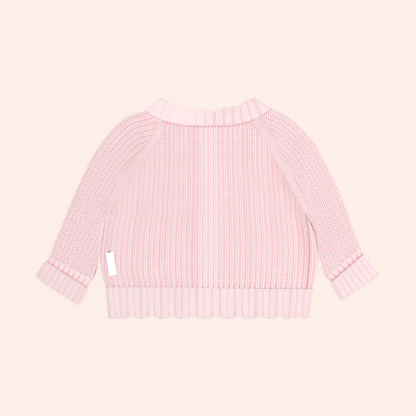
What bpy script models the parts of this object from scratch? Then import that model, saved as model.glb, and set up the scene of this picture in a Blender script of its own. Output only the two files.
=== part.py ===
"""An infant's raglan sweater in thick cotton knit, laid flat on its front with its back up.

+X is to the right as the back is seen, +Y is towards the neck, +Z is up, and the sweater
rests on Z = 0. Tables and functions work in millimetres, and the meshes are in metres.

Every piece of cloth is a wall between an outer and an inner surface. The upper layers stay
above a middle plane and the lower ones below it. A folded edge bends round from one to the
other, and at a seam two pieces meet edge to edge with a small gap.
"""

import math
from typing import NamedTuple

import bmesh
import bpy
from mathutils import Vector

MM = 0.001

# Cloth and layers.
WALL = 2.8                # thickness of the knitted panels
SEAM_GAP = 0.3            # space between two pieces at a seam
MIDDLE = 3.4              # height of the plane between the lower and the upper layers
FULLNESS = 3.7            # height of the upper layer's outer surface over that plane
HOLLOW = 3.2              # most that the upper layer's inner surface rises over that plane
FOLD_REACH = 4.4          # how far in from a folded edge its bend begins
FOLD_STEPS = 3            # facets in a quarter of a bend
SLEEVE_CROWN = 1.0        # how much fuller a sleeve is along its middle
SOFT_FOLD_END = 0.3       # share of a soft fold's length over which each end dies out

# Neck, seen from above. Both shoulders lie on folds.
SHOULDER_SEAM_X = {-1: -85.0, 1: 86.4}     # where the band's seam crosses each shoulder fold
SHOULDER_SEAM_Y = {-1: 131.0, 1: 134.3}
SHOULDER_EDGE_X = {-1: -63.5, 1: 62.1}     # where the band's free edge crosses it
SHOULDER_EDGE_Y = {-1: 149.2, 1: 149.2}
BACK_SEAM_Y = 110.7       # lowest point of the back neck seam
BACK_EDGE_Y = 133.4       # lowest line of the band's edge at the back
FRONT_DEPTH = 28.0        # the front neckline is this much lower, under the back
BACK_SEAM_POWER = 3.0     # the back seam is flat in its middle and steep at its ends
BACK_EDGE_POWER = 2.2
PANEL_CURVE_START = 0.5   # share of a panel's height from which its rows curve with the neck
SCALLOP_POWER = 1.6       # how narrow the notches between scallops are
NECK_SCALLOP = 33.0       # width of one scallop of the neckband
NECK_SCALLOP_DEPTH = 3.4
NECK_SCALLOP_START = 8.0  # X of one notch
NECK_SCALLOP_FADE = 0.15  # share of the band's edge over which they die out at each shoulder
BAND_FOLD_REACH = 0.050   # bend of the neckband at the shoulders, as a share of half its length
BAND_FOLD_WALL = 0.030
NECK_DROP = 3.0           # the back of the neck sinks this far into the neck opening
NECK_DROP_START = 4.0     # beyond the front band's edge
NECK_DROP_LENGTH = 18.0

# Hem.
HEM_SEAM_Y = {-1: -106.2, 1: -109.0}
HEM_EDGE_Y = -149.2
HEM_SCALLOP = 28.6        # width of one scallop of the hem, three ribs
HEM_SCALLOP_DEPTH = 4.7
HEM_SCALLOP_START = 10.8  # X of one notch

# Armholes.
ARMPIT_Y = -9.0           # the raglan seams end here, and the side folds begin
SIDE_TURN_START = 4.0     # the side starts to turn in this far above the armpit
SIDE_TURN_LENGTH = 22.0
FRONT_RAGLAN_SHIFT = 19.0  # the front raglan seams lie this far further in at the neck
FRONT_RAGLAN_START_Y = 20.0
FRONT_RAGLAN_LENGTH = 76.0

# Turned-up cuffs: four layers of rib.
CUFF_WALL = 2.6
CUFF_HALF = 5.7           # half of a cuff's whole thickness
CUFF_INSIDE = 0.2         # half of the slit inside the sleeve's end
CUFF_EDGE = 0.7           # rounding of the turned-up edge
CUFF_TIP = 0.5            # how far the slit between the layers narrows before the fold
CUFF_FOLD_STEPS = 6       # facets round the fold

# Label, a folded woven tab sewn on beside the left side.
LABEL_WIDTH = 10.6
LABEL_LENGTH = 31.8
LABEL_THICKNESS = 0.8
LABEL_CENTRE = (-130.4, -74.7)
LABEL_TILT = math.radians(8.4)

KNIT_PINK = (0.930, 0.640, 0.680, 1.0)
RIB_PINK = (0.945, 0.700, 0.725, 1.0)
LABEL_WHITE = (0.90, 0.90, 0.88, 1.0)
CLOTH_ROUGHNESS = 0.9
SHARP_ANGLE = math.radians(50)
HALVINGS = 30             # steps to find where an edge meets the neck seam


class BodyRow(NamedTuple):
    """Edges of the back at one height: its raglan seams, then its sides, then the hem band."""

    y: float
    left: float
    right: float


BODY_ROWS = (
    BodyRow(121.0, -60.0, 61.5),
    BodyRow(97.0, -68.8, 80.0),
    BodyRow(82.0, -78.2, 88.0),
    BodyRow(65.0, -91.8, 95.6),
    BodyRow(45.0, -108.2, 106.8),
    BodyRow(25.0, -120.4, 117.4),
    BodyRow(5.0, -132.0, 126.8),
    BodyRow(-9.0, -137.6, 131.6),
    BodyRow(-21.0, -139.4, 138.8),
    BodyRow(-38.0, -141.6, 144.6),
    BodyRow(-56.0, -143.8, 147.2),
    BodyRow(-78.0, -144.6, 147.8),
    BodyRow(-92.0, -142.6, 145.6),
    BodyRow(-107.0, -138.4, 141.8),
    BodyRow(-128.0, -136.2, 139.0),
    BodyRow(-150.0, -134.2, 136.2),
)


class SleeveRow(NamedTuple):
    """One section across a sleeve, from its outer fold to the body."""

    outer_x: float
    outer_y: float
    back_y: float      # where the upper layer meets the body's edge
    front_y: float     # where the lower layer does
    clear: float       # how far it stands off that edge


SLEEVE_ROWS = {
    -1: (
        SleeveRow(-85.0, 131.0, 118.2, 96.0, 0.0),
        SleeveRow(-104.0, 125.5, 100.5, 88.0, 0.0),
        SleeveRow(-120.2, 115.4, 82.0, 76.0, 0.0),
        SleeveRow(-135.0, 99.2, 65.0, 63.0, 0.0),
        SleeveRow(-147.2, 83.0, 45.0, 45.0, 0.0),
        SleeveRow(-158.0, 65.5, 25.0, 25.0, 0.0),
        SleeveRow(-167.4, 46.6, 5.0, 5.0, 0.0),
        SleeveRow(-175.5, 29.0, -9.0, -9.0, 0.0),
        SleeveRow(-185.0, 7.4, -29.0, -29.0, 0.0),
        SleeveRow(-195.8, -19.6, -56.0, -56.0, 0.0),
        SleeveRow(-205.2, -42.5, -77.0, -77.0, 1.2),
        SleeveRow(-212.6, -64.1, -95.2, -95.2, 13.2),
    ),
    1: (
        SleeveRow(86.4, 134.3, 119.7, 97.4, 0.0),
        SleeveRow(102.6, 127.6, 102.0, 89.0, 0.0),
        SleeveRow(117.5, 116.8, 84.4, 78.0, 0.0),
        SleeveRow(131.0, 103.3, 64.1, 62.0, 0.0),
        SleeveRow(144.5, 88.4, 42.5, 42.5, 0.0),
        SleeveRow(153.9, 70.9, 22.3, 22.3, 0.0),
        SleeveRow(163.4, 52.0, 4.7, 4.7, 0.0),
        SleeveRow(171.5, 35.8, -9.0, -9.0, 0.0),
        SleeveRow(182.3, 11.5, -27.7, -27.7, 0.0),
        SleeveRow(191.7, -14.2, -53.3, -53.3, 0.0),
        SleeveRow(198.5, -33.1, -76.3, -76.3, 1.2),
        SleeveRow(205.2, -52.0, -92.5, -92.5, 12.5),
    ),
}
SLEEVE_RISE_ROW = 9.4     # from this row on, the sleeve climbs onto the turned-up cuff


class CuffRow(NamedTuple):
    """Both ends of a line across the cuff's turned-up layer."""

    outer_x: float
    outer_y: float
    inner_x: float
    inner_y: float


CUFF_ROWS = {             # at the sleeve's seam, the turned-up edge and the fold
    -1: (
        CuffRow(-215.4, -63.3, -152.7, -97.5),
        CuffRow(-220.0, -70.9, -160.7, -109.4),
        CuffRow(-234.0, -92.8, -172.8, -133.0),
    ),
    1: (
        CuffRow(207.7, -50.6, 156.2, -95.0),
        CuffRow(211.3, -60.7, 164.0, -101.3),
        CuffRow(234.2, -89.8, 179.6, -126.9),
    ),
}


class SoftFold(NamedTuple):
    """A low ridge or trough of the upper layer, along a curve through four points."""

    name: str
    path: tuple
    height: float
    left_width: float     # how far it spreads to the left of its path, and to its right
    right_width: float


SOFT_FOLDS = (
    SoftFold("right side ridge", ((94, 62), (126, 11), (140, -42), (138, -104)), 2.7, 7.0, 13.0),
    SoftFold("right side trough", ((80, 82), (104, 24), (122, -20), (128, -70)), -0.7, 7.0, 6.0),
    SoftFold("right raglan ridge", ((84, 108), (93, 92), (103, 72), (112, 50)), 0.9, 6.0, 8.0),
    SoftFold("right neck dip", ((50, 108), (57, 109), (66, 109), (74, 106)), -0.6, 8.0, 8.0),
    SoftFold("left raglan trough", ((-92, 80), (-98, 68), (-105, 54), (-113, 37)), -0.6, 6.0, 6.0),
    SoftFold("left armpit dip", ((-134, 14), (-138, 4), (-139, -6), (-138, -14)), -0.5, 5.0, 6.0),
    SoftFold("left hem swell", ((-107, -50), (-92, -84), (-60, -86), (-44, -32)), 0.5, 9.0, 9.0),
    SoftFold("right hem swell", ((60, -34), (68, -76), (98, -86), (118, -62)), 0.5, 9.0, 9.0),
    SoftFold("middle swell", ((3, 96), (4, 30), (4, -40), (4, -100)), 0.5, 15.0, 15.0),
    SoftFold("left sleeve ridge", ((-147, 6), (-150, -14), (-155, -34), (-163, -52)), 0.7, 11.0, 9.0),
    SoftFold("right sleeve ridge", ((148, 44), (154, 24), (160, 4), (166, -14)), 0.6, 9.0, 10.0),
)


# ------------------------------------------------------------------------------- curves

def ease(amount):
    """Smooth step from 0 to 1."""
    amount = min(max(amount, 0.0), 1.0)
    return amount * amount * (3.0 - 2.0 * amount)


def mix(start, end, amount):
    """Linear blend of two numbers or vectors."""
    return start + (end - start) * amount


def read_table(places, values, at):
    """Value at a place on the smooth curve through a table's rows."""
    last = len(places) - 2
    rising = places[-1] > places[0]
    row = 0
    while row < last and (at > places[row + 1]) == rising:
        row += 1

    def slope(index):
        low, high = max(index - 1, 0), min(index + 1, len(places) - 1)
        return (values[high] - values[low]) / (places[high] - places[low])

    span = places[row + 1] - places[row]
    part = (at - places[row]) / span
    square, cube = part * part, part ** 3
    return ((2 * cube - 3 * square + 1) * values[row]
            + (cube - 2 * square + part) * span * slope(row)
            + (3 * square - 2 * cube) * values[row + 1]
            + (cube - square) * span * slope(row + 1))


def body_edge(side, y):
    """X of the body's edge on one side, -1 for left and 1 for right."""
    column = [row.left if side < 0 else row.right for row in BODY_ROWS]
    return read_table([row.y for row in BODY_ROWS], column, y)


def front_edge(side, y):
    """X of the front panel's edge, which leaves the back's above the chest."""
    part = max(y - FRONT_RAGLAN_START_Y, 0.0) / FRONT_RAGLAN_LENGTH
    return body_edge(side, y) - side * FRONT_RAGLAN_SHIFT * part ** 2


def neck_curve(x, lowest, end_x, end_y, power):
    """Y of a neck curve that is lowest in the middle and ends on the shoulder folds."""
    side = -1 if x < 0 else 1
    return lowest + (end_y[side] - lowest) * abs(x / end_x[side]) ** power


def front_depth(x, end_x):
    """How much lower the front neckline is, running smoothly into the back's at the folds."""
    side = -1 if x < 0 else 1
    return FRONT_DEPTH * max(1.0 - (x / end_x[side]) ** 2, 0.0) ** 2


def back_seam(x):
    """Y of the back neck seam."""
    return neck_curve(x, BACK_SEAM_Y, SHOULDER_SEAM_X, SHOULDER_SEAM_Y, BACK_SEAM_POWER)


def front_seam(x):
    """Y of the front neck seam."""
    return back_seam(x) - front_depth(x, SHOULDER_SEAM_X)


def plain_band_edge(x):
    """Y of the line through the scallops of the neckband at the back."""
    return neck_curve(x, BACK_EDGE_Y, SHOULDER_EDGE_X, SHOULDER_EDGE_Y, BACK_EDGE_POWER)


def front_band_edge(x):
    """Y of the neckband's free edge at the front."""
    return plain_band_edge(x) - front_depth(x, SHOULDER_EDGE_X)


def scallop(x, start, width):
    """How deep a scalloped edge is notched at X, from 0 on a scallop to 1 at a notch."""
    return (1.0 - abs(math.sin(math.pi * (x - start) / width))) ** SCALLOP_POWER


def back_band_edge(x):
    """Y of the neckband's scalloped free edge at the back."""
    side = -1 if x < 0 else 1
    fading = ease((1.0 - x / SHOULDER_EDGE_X[side]) / NECK_SCALLOP_FADE)
    notch = scallop(x, NECK_SCALLOP_START, NECK_SCALLOP)
    return plain_band_edge(x) - NECK_SCALLOP_DEPTH * fading * notch


def hem_seam(x):
    """Y of the seam between a panel and its hem band, a straight line."""
    left, right = body_edge(-1, HEM_SEAM_Y[-1]), body_edge(1, HEM_SEAM_Y[1])
    return mix(HEM_SEAM_Y[-1], HEM_SEAM_Y[1], (x - left) / (right - left))


def hem_edge(x):
    """Y of the scalloped lower edge."""
    return HEM_EDGE_Y + HEM_SCALLOP_DEPTH * scallop(x, HEM_SCALLOP_START, HEM_SCALLOP)


def seam_corner(side, edge, seam):
    """Height at which a panel's edge meets the neck seam, found by halving."""
    low, high = BACK_SEAM_Y - FRONT_DEPTH, SHOULDER_SEAM_Y[side]
    for _ in range(HALVINGS):
        y = 0.5 * (low + high)
        if seam(edge(side, y)) > y:
            low = y
        else:
            high = y
    return y


# ------------------------------------------------------------------------- upper layer

def fold_height(fold, x, y, steps=12):
    """Height that one soft fold adds at a place."""
    places = (0.0, 1.0, 2.0, 3.0)
    xs, ys = [p[0] for p in fold.path], [p[1] for p in fold.path]
    line = [Vector((read_table(places, xs, 3.0 * i / steps), read_table(places, ys, 3.0 * i / steps)))
            for i in range(steps + 1)]
    here = Vector((x, y))
    nearest, share, across = 1e9, 0.0, 0.0
    for i in range(steps):
        along = line[i + 1] - line[i]
        part = min(max((here - line[i]).dot(along) / along.length_squared, 0.0), 1.0)
        away = here - (line[i] + along * part)
        if away.length < nearest:
            nearest, share = away.length, (i + part) / steps
            across = along.x * away.y - along.y * away.x
    goes_down = fold.path[-1][1] < fold.path[0][1]
    to_left = (across < 0) if goes_down else (across > 0)
    width = fold.left_width if to_left else fold.right_width
    fading = ease(share / SOFT_FOLD_END) * ease((1.0 - share) / SOFT_FOLD_END)
    return fold.height * fading * math.exp(-(nearest / width) ** 2)


def upper_height(x, y):
    """Height of the upper layer's outer surface over the middle plane, folds included."""
    return FULLNESS + sum(fold_height(fold, x, y) for fold in SOFT_FOLDS)


def neck_drop(x, y):
    """How far the upper layer sinks where the neck opening leaves nothing under it."""
    beyond = y - front_band_edge(x) - NECK_DROP_START
    return NECK_DROP * ease(beyond / NECK_DROP_LENGTH)


def side_turn(y):
    """How far a side edge has turned in: 0 on the raglan seams, 1 on the folded sides."""
    return ease((ARMPIT_Y + SIDE_TURN_START - y) / SIDE_TURN_LENGTH)


# ------------------------------------------------------------------- sections of cloth

class Station(NamedTuple):
    """One place on a section: both surfaces, and how far the bend has risen there."""

    outer: float
    inner: float
    rise: float


def bend(turned, sewn, reach, wall):
    """Stations of one edge, measured in from it. A sewn edge stops short of the middle."""
    stations = []
    for step in range(FOLD_STEPS + 1):
        angle = 0.5 * math.pi * step / FOLD_STEPS
        inwards, rise = 1.0 - math.cos(angle), 1.0 - turned + turned * math.sin(angle)
        inset = turned * wall
        stations.append(Station(reach * inwards, inset + (reach - inset) * inwards,
                                max(rise, 1e-6) if sewn else rise))
    return stations


def section(start, end, start_bend, end_bend, columns, reach=FOLD_REACH):
    """Stations across a piece, from one edge to the other."""
    first = [Station(start + s.outer, start + s.inner, s.rise) for s in start_bend]
    last = [Station(end - s.outer, end - s.inner, s.rise) for s in reversed(end_bend)]
    step = (end - start - 2.0 * reach) / columns
    middle = [start + reach + step * i for i in range(1, columns)]
    return first + [Station(place, place, 1.0) for place in middle] + last


def layer_z(middle, sign, height, rise):
    """Z of a surface in the upper (1) or lower (-1) layer. A fold's crease lies at the middle."""
    away = 0.0 if rise == 0.0 else max(height * rise, 0.5 * SEAM_GAP)
    return middle + sign * away


def surface_heights(x, y, sign, extra=0.0):
    """Outer and inner heights of a layer over the middle plane."""
    if sign < 0:
        return MIDDLE, MIDDLE - WALL
    outer = upper_height(x, y) + extra
    return outer, min(outer - WALL, HOLLOW)


# ----------------------------------------------------------------------------- meshes

def finish(name, points, faces, colour):
    """Object from points in millimetres and faces, with its faces pointing out."""
    mesh = bpy.data.meshes.new(name)
    mesh.from_pydata([[c * MM for c in point] for point in points], [], faces)
    form = bmesh.new()
    form.from_mesh(mesh)
    bmesh.ops.recalc_face_normals(form, faces=form.faces)
    form.to_mesh(mesh)
    form.free()
    mesh.shade_smooth()
    mesh.set_sharp_from_angle(angle=SHARP_ANGLE)
    material = bpy.data.materials.new(name)
    material.use_nodes = True
    shader = material.node_tree.nodes["Principled BSDF"]
    shader.inputs["Base Color"].default_value = colour
    shader.inputs["Roughness"].default_value = CLOTH_ROUGHNESS
    shader.inputs["Metallic"].default_value = 0.0
    mesh.materials.append(material)
    piece = bpy.data.objects.new(name, mesh)
    return piece


def cloth(name, outer, inner, colour, ring=False):
    """A wall of cloth from two grids of points, rows of places across it.

    With ring, the last place of each row joins the first.
    """
    rows, columns = len(outer), len(outer[0])
    points = [point for grid in (outer, inner) for row in grid for point in row]

    def index(grid, row, column):
        return (grid * rows + row) * columns + column % columns

    faces = []
    last = columns if ring else columns - 1
    for row in range(rows - 1):
        for column in range(last):
            for grid in (0, 1):
                quad = [index(grid, row, column), index(grid, row, column + 1),
                        index(grid, row + 1, column + 1), index(grid, row + 1, column)]
                faces.append(quad if grid == 0 else quad[::-1])
    for row in (0, rows - 1):
        for column in range(last):
            faces.append([index(0, row, column + 1), index(0, row, column),
                          index(1, row, column), index(1, row, column + 1)])
    if not ring:
        for column in (0, columns - 1):
            for row in range(rows - 1):
                faces.append([index(0, row, column), index(0, row + 1, column),
                              index(1, row + 1, column), index(1, row, column)])
    return finish(name, points, faces, colour)


def closed_tube(name, rings, colour):
    """A solid from closed rings of points whose last ring joins the first."""
    count, size = len(rings), len(rings[0])
    points = [point for ring in rings for point in ring]
    faces = [[a * size + c, a * size + (c + 1) % size, b * size + (c + 1) % size, b * size + c]
             for a in range(count) for b in [(a + 1) % count] for c in range(size)]
    return finish(name, points, faces, colour)


# ----------------------------------------------------------------------------- pieces

def panel(name, sign, edge, seam, columns, rows=26):
    """The back (sign 1) or the front (-1), from the hem seam to the neck seam."""
    corner = {side: seam_corner(side, edge, seam) for side in (-1, 1)}
    outer, inner = [], []
    for row in range(rows + 1):
        share = row / rows
        side_y = {side: mix(HEM_SEAM_Y[side], corner[side], share) for side in (-1, 1)}
        ends = {side: edge(side, side_y[side]) - side * 0.5 * SEAM_GAP for side in (-1, 1)}
        bends = {side: bend(side_turn(side_y[side]), True, FOLD_REACH, WALL) for side in (-1, 1)}
        to_seam = ease((share - PANEL_CURVE_START) / (1.0 - PANEL_CURVE_START))
        top = [edge(side, corner[side]) for side in (-1, 1)]
        edge_gap = 0.5 * SEAM_GAP * ((row == 0) - (row == rows))
        line = {0: [], 1: []}
        for station in section(ends[-1], ends[1], bends[-1], bends[1], columns):
            for grid, x in enumerate((station.outer, station.inner)):
                part = (x - ends[-1]) / (ends[1] - ends[-1])
                top_x = mix(top[0], top[1], part)
                sag = seam(top_x) - mix(corner[-1], corner[1], part)
                y = mix(side_y[-1], side_y[1], part) + to_seam * sag + edge_gap
                height = surface_heights(x, y, sign)[grid]
                z = layer_z(MIDDLE, sign, height, station.rise)
                line[grid].append((x, y, z - (neck_drop(x, y) if sign > 0 else 0.0)))
        outer.append(line[0])
        inner.append(line[1])
    return cloth(name, outer, inner, KNIT_PINK)


def hem_band(name, sign, columns=50, rows=2):
    """Ribbed band under the back or the front, with a scalloped lower edge."""
    outer, inner = [], []
    for row in range(rows + 1):
        share = row / rows
        line = {0: [], 1: []}
        level = {side: mix(HEM_SEAM_Y[side], HEM_EDGE_Y, share) for side in (-1, 1)}
        ends = {side: body_edge(side, level[side]) - side * 0.5 * SEAM_GAP for side in (-1, 1)}
        turned = bend(1.0, True, FOLD_REACH, WALL)
        for station in section(ends[-1], ends[1], turned, turned, columns):
            for grid, x in enumerate((station.outer, station.inner)):
                y = mix(hem_seam(x) - 0.5 * SEAM_GAP, hem_edge(x), share)
                height = surface_heights(x, y, sign)[grid]
                line[grid].append((x, y, layer_z(MIDDLE, sign, height, station.rise)))
        outer.append(line[0])
        inner.append(line[1])
    return cloth(name, outer, inner, RIB_PINK)


def sleeve_table(side):
    """Rows of one sleeve, its first row ending where the raglan seams meet the neckband."""
    first, *others = SLEEVE_ROWS[side]
    back_y = seam_corner(side, body_edge, back_seam)
    front_y = seam_corner(side, front_edge, front_seam)
    return [first._replace(back_y=back_y, front_y=front_y), *others]


def sleeve_line(side, row, upper):
    """Outer and inner ends of one layer's section, at a row of the sleeve's table."""
    table = sleeve_table(side)
    places = range(len(table))
    values = {name: read_table(places, [getattr(r, name) for r in table], row)
              for name in SleeveRow._fields}
    edge = body_edge if upper else front_edge
    inner_y = values["back_y"] if upper else values["front_y"]
    stand_off = 0.5 * SEAM_GAP + max(values["clear"], 0.0)
    inner_x = edge(side, inner_y) + side * stand_off
    return Vector((values["outer_x"], values["outer_y"])), Vector((inner_x, inner_y))


def neck_sag(side, share, upper):
    """How far the curved neck seam lies from the straight line across the sleeve's end."""
    outside, inside = sleeve_line(side, 0, upper)
    place = mix(outside, inside, share)
    seam = back_seam if upper else front_seam
    return seam(place.x) - 0.5 * SEAM_GAP - place.y


def sleeve_points(side, row, sign, columns):
    """Outer and inner points of one layer at a row, from the outer fold to the body."""
    upper = sign > 0
    outside, inside = sleeve_line(side, row, upper)
    length = (inside - outside).length
    onto_cuff = ease((row - SLEEVE_RISE_ROW) / (len(SLEEVE_ROWS[side]) - 1 - SLEEVE_RISE_ROW))
    middle = mix(MIDDLE, CUFF_HALF, onto_cuff)
    at_neck = 1.0 - ease(row)
    bends = (bend(1.0, False, FOLD_REACH, WALL), bend(side_turn(inside.y), True, FOLD_REACH, WALL))
    lines = ([], [])
    for station in section(0.0, length, bends[0], bends[1], columns):
        for grid, along in enumerate((station.outer, station.inner)):
            share = along / length
            place = mix(outside, inside, share)
            place.y += at_neck * neck_sag(side, share, upper)
            crown = SLEEVE_CROWN * math.sin(math.pi * min(max(share, 0.0), 1.0))
            height = surface_heights(place.x, place.y, sign, crown)[grid]
            cuff_height = CUFF_HALF - CUFF_WALL - SEAM_GAP - grid * CUFF_WALL
            height = mix(height, cuff_height, onto_cuff)
            lines[grid].append((place.x, place.y, layer_z(middle, sign, height, station.rise)))
    return lines


def sleeve(name, side, columns=6, steps=2):
    """A sleeve: one layer of cloth folded at the shoulder and sewn under the arm."""
    outer, inner = [], []
    for step in range(steps * (len(SLEEVE_ROWS[side]) - 1) + 1):
        upper = sleeve_points(side, step / steps, 1, columns)
        lower = sleeve_points(side, step / steps, -1, columns)
        outer.append(upper[0][::-1] + lower[0][1:])
        inner.append(upper[1][::-1] + lower[1][1:])
    return cloth(name, outer, inner, KNIT_PINK)


def neckband(name, columns=32, rows=2):
    """Ribbed band round the neck, folded over at both shoulders."""
    fold = bend(1.0, False, BAND_FOLD_REACH, BAND_FOLD_WALL)
    stations = section(-1.0, 1.0, fold, fold, columns, BAND_FOLD_REACH)
    outer, inner = [], []
    for row in range(rows + 1):
        share = row / rows
        lines = ([], [])
        for sign in (1, -1):
            seam = back_seam if sign > 0 else front_seam
            edge = back_band_edge if sign > 0 else front_band_edge
            ring = stations if sign > 0 else stations[-2:0:-1]
            for station in ring:
                for grid, along in enumerate((station.outer, station.inner)):
                    side = -1 if along < 0 else 1
                    seam_x = abs(along) * SHOULDER_SEAM_X[side]
                    edge_x = abs(along) * SHOULDER_EDGE_X[side]
                    x = mix(seam_x, edge_x, share)
                    y = mix(seam(seam_x) + 0.5 * SEAM_GAP, edge(edge_x), share)
                    height = surface_heights(x, y, sign)[grid]
                    z = layer_z(MIDDLE, sign, height, station.rise)
                    drop = neck_drop(x, y) if sign > 0 else 0.0
                    lines[grid].append((x, y, z - drop))
        outer.append(lines[0])
        inner.append(lines[1])
    return cloth(name, outer, inner, RIB_PINK, ring=True)


def cuff_ring(side, level, half, columns=3):
    """Closed ring round the flattened cuff, at a level from its seam (0) to its fold (2)."""
    first = min(int(level), 1)
    near, far = CUFF_ROWS[side][first], CUFF_ROWS[side][first + 1]
    row = [mix(a, b, level - first) for a, b in zip(near, far)]
    outside, inside = Vector(row[:2]), Vector(row[2:])
    along = (inside - outside).normalized()
    start, end = outside + along * (CUFF_HALF - half), inside - along * (CUFF_HALF - half)
    quarter = [0.5 * math.pi * step / FOLD_STEPS for step in range(FOLD_STEPS + 1)]
    top = [(start + along * half * (1.0 - math.cos(a)), half * math.sin(a)) for a in quarter]
    flat = (end - start).length - 2.0 * half
    top += [(start + along * (half + flat * i / columns), half) for i in range(1, columns)]
    top += [(end - along * half * (1.0 - math.cos(a)), half * math.sin(a)) for a in quarter[::-1]]
    ring = top + [(place, -height) for place, height in top[-2:0:-1]]
    return [(place.x, place.y, CUFF_HALF + height) for place, height in ring]


def cuff(name, side):
    """Ribbed cuff, turned up once: a tube inside, a fold, and the turned-up tube outside it."""
    turn, fold = CUFF_ROWS[side][1], CUFF_ROWS[side][2]
    depth = 0.5 * (math.hypot(fold.outer_x - turn.outer_x, fold.outer_y - turn.outer_y)
                   + math.hypot(fold.inner_x - turn.inner_x, fold.inner_y - turn.inner_y))
    inside_layer = CUFF_HALF - CUFF_WALL - SEAM_GAP
    radius = 0.5 * (CUFF_HALF - CUFF_INSIDE)
    profile = [(1.0, CUFF_HALF - CUFF_EDGE), (1.0 + CUFF_EDGE / depth, CUFF_HALF)]
    profile += [(1.5, CUFF_HALF)]
    for step in range(CUFF_FOLD_STEPS + 1):
        angle = math.pi * step / CUFF_FOLD_STEPS
        level = 2.0 - radius * (1.0 - math.sin(angle)) / depth
        profile.append((level, CUFF_INSIDE + radius * (1.0 + math.cos(angle))))
    slit_end = 2.0 - CUFF_WALL / depth
    profile += [(1.0, CUFF_INSIDE), (0.0, CUFF_INSIDE), (0.0, inside_layer), (1.0, inside_layer)]
    tip = slit_end - CUFF_TIP / depth
    profile += [(tip, inside_layer), (slit_end, inside_layer + 0.5 * SEAM_GAP)]
    profile += [(tip, CUFF_HALF - CUFF_WALL), (1.0, CUFF_HALF - CUFF_WALL)]
    rings = [cuff_ring(side, level, half) for level, half in profile]
    return closed_tube(name, rings, RIB_PINK)


def label(name, columns=3, rows=7):
    """Woven tab that lies on the back, made from the back's own surface moved out."""
    outer, inner = [], []
    for row in range(rows + 1):
        lines = ([], [])
        down = LABEL_LENGTH * (0.5 - row / rows)
        for column in range(columns + 1):
            across = LABEL_WIDTH * (column / columns - 0.5)
            x = LABEL_CENTRE[0] + across * math.cos(LABEL_TILT) - down * math.sin(LABEL_TILT)
            y = LABEL_CENTRE[1] + across * math.sin(LABEL_TILT) + down * math.cos(LABEL_TILT)
            z = MIDDLE + upper_height(x, y) + SEAM_GAP
            lines[0].append((x, y, z + LABEL_THICKNESS))
            lines[1].append((x, y, z))
        outer.append(lines[0])
        inner.append(lines[1])
    return cloth(name, outer, inner, LABEL_WHITE)


def build():
    """Make every piece and put the pieces in one collection."""
    for thing in list(bpy.data.objects):
        bpy.data.objects.remove(thing, do_unlink=True)
    sweater = bpy.data.collections.new("knit_sweater")
    bpy.context.scene.collection.children.link(sweater)
    pieces = [
        panel("back", 1, body_edge, back_seam, columns=22),
        panel("front", -1, front_edge, front_seam, columns=8),
        hem_band("back_hem_band", 1),
        hem_band("front_hem_band", -1),
        sleeve("sleeve_left", -1),
        sleeve("sleeve_right", 1),
        neckband("neckband"),
        cuff("cuff_left", -1),
        cuff("cuff_right", 1),
        label("label"),
    ]
    for piece in pieces:
        sweater.objects.link(piece)


build()
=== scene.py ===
"""Looks of an infant's raglan sweater in pink cotton knit, laid flat with its back up.

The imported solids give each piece's place and form. Here every piece of cloth is made again
as a thin shell on that form, with its stitches as real relief: an outer surface meshed along
its wales, a plain inner surface, and a rim between them. Lengths are in millimetres until
a mesh is made. +X is to the right and +Y runs from the hem to the neck.
"""

import logging
import math
from dataclasses import dataclass, field, replace
from enum import Enum
from typing import Any, Callable, NamedTuple, Optional, Sequence, Union

import bmesh
import bpy
import numpy as np
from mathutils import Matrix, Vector

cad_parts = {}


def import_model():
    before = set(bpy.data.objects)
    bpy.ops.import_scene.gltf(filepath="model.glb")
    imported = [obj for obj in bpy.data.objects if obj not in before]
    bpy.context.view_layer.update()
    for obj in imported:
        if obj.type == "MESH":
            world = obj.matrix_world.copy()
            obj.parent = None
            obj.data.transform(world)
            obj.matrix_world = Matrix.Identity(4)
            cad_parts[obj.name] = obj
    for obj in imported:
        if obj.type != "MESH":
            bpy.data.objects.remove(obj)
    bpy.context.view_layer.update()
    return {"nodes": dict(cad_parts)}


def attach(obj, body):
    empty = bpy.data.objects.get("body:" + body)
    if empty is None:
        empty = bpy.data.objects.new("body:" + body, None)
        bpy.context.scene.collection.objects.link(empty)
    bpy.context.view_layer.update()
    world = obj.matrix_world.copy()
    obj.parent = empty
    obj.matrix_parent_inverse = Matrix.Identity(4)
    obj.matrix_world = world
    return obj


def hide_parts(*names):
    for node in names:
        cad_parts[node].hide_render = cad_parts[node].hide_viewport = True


MM = 0.001
BODY = "root"
YARN_UV = "yarn"  # UV map: wales across, and rows along, level with each strand
GROOVE_SHADE = "groove_shade"  # attribute: painted shade in the grooves between the stitches, 0 on the crests, 1 in the grooves
TINT = "tint"  # attribute: how much lighter or darker the cloth is there, as painted light and shade and as tone that differs at random
END_KEY = 10 ** 9  # key of the last vertex of a line
SHORTEST = 0.2  # steps in the shortest column that may have vertices between its ends
END_GAP = 0.35  # least gap between them and its ends, in steps
TEST_ROWS = 0.1  # rows between two places that are tested for an outline
HALVINGS = 16  # and how often the gap between them is halved
INNER_GROOVE_SHADE = 0.4  # painted groove shade all over the inner surfaces

log = logging.getLogger("sweater")

Array = np.ndarray
Surface = Callable[[Array, Array], Array]


class Layer(Enum):
    """Which of the two layers of a flat garment a piece belongs to."""

    UPPER = 1
    LOWER = -1


class Slot(Enum):
    """The record's material slots."""

    BODY = "body_knit"
    RIB = "rib_knit"
    LABEL = "label_tape"


# ---- small maths

def ease(amount: Array) -> Array:
    """Smooth step from 0 to 1."""
    amount = np.clip(amount, 0.0, 1.0)
    return amount * amount * (3.0 - 2.0 * amount)


def mix(start: Array, end: Array, amount: Array) -> Array:
    """Linear blend."""
    return start + (end - start) * amount


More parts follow.
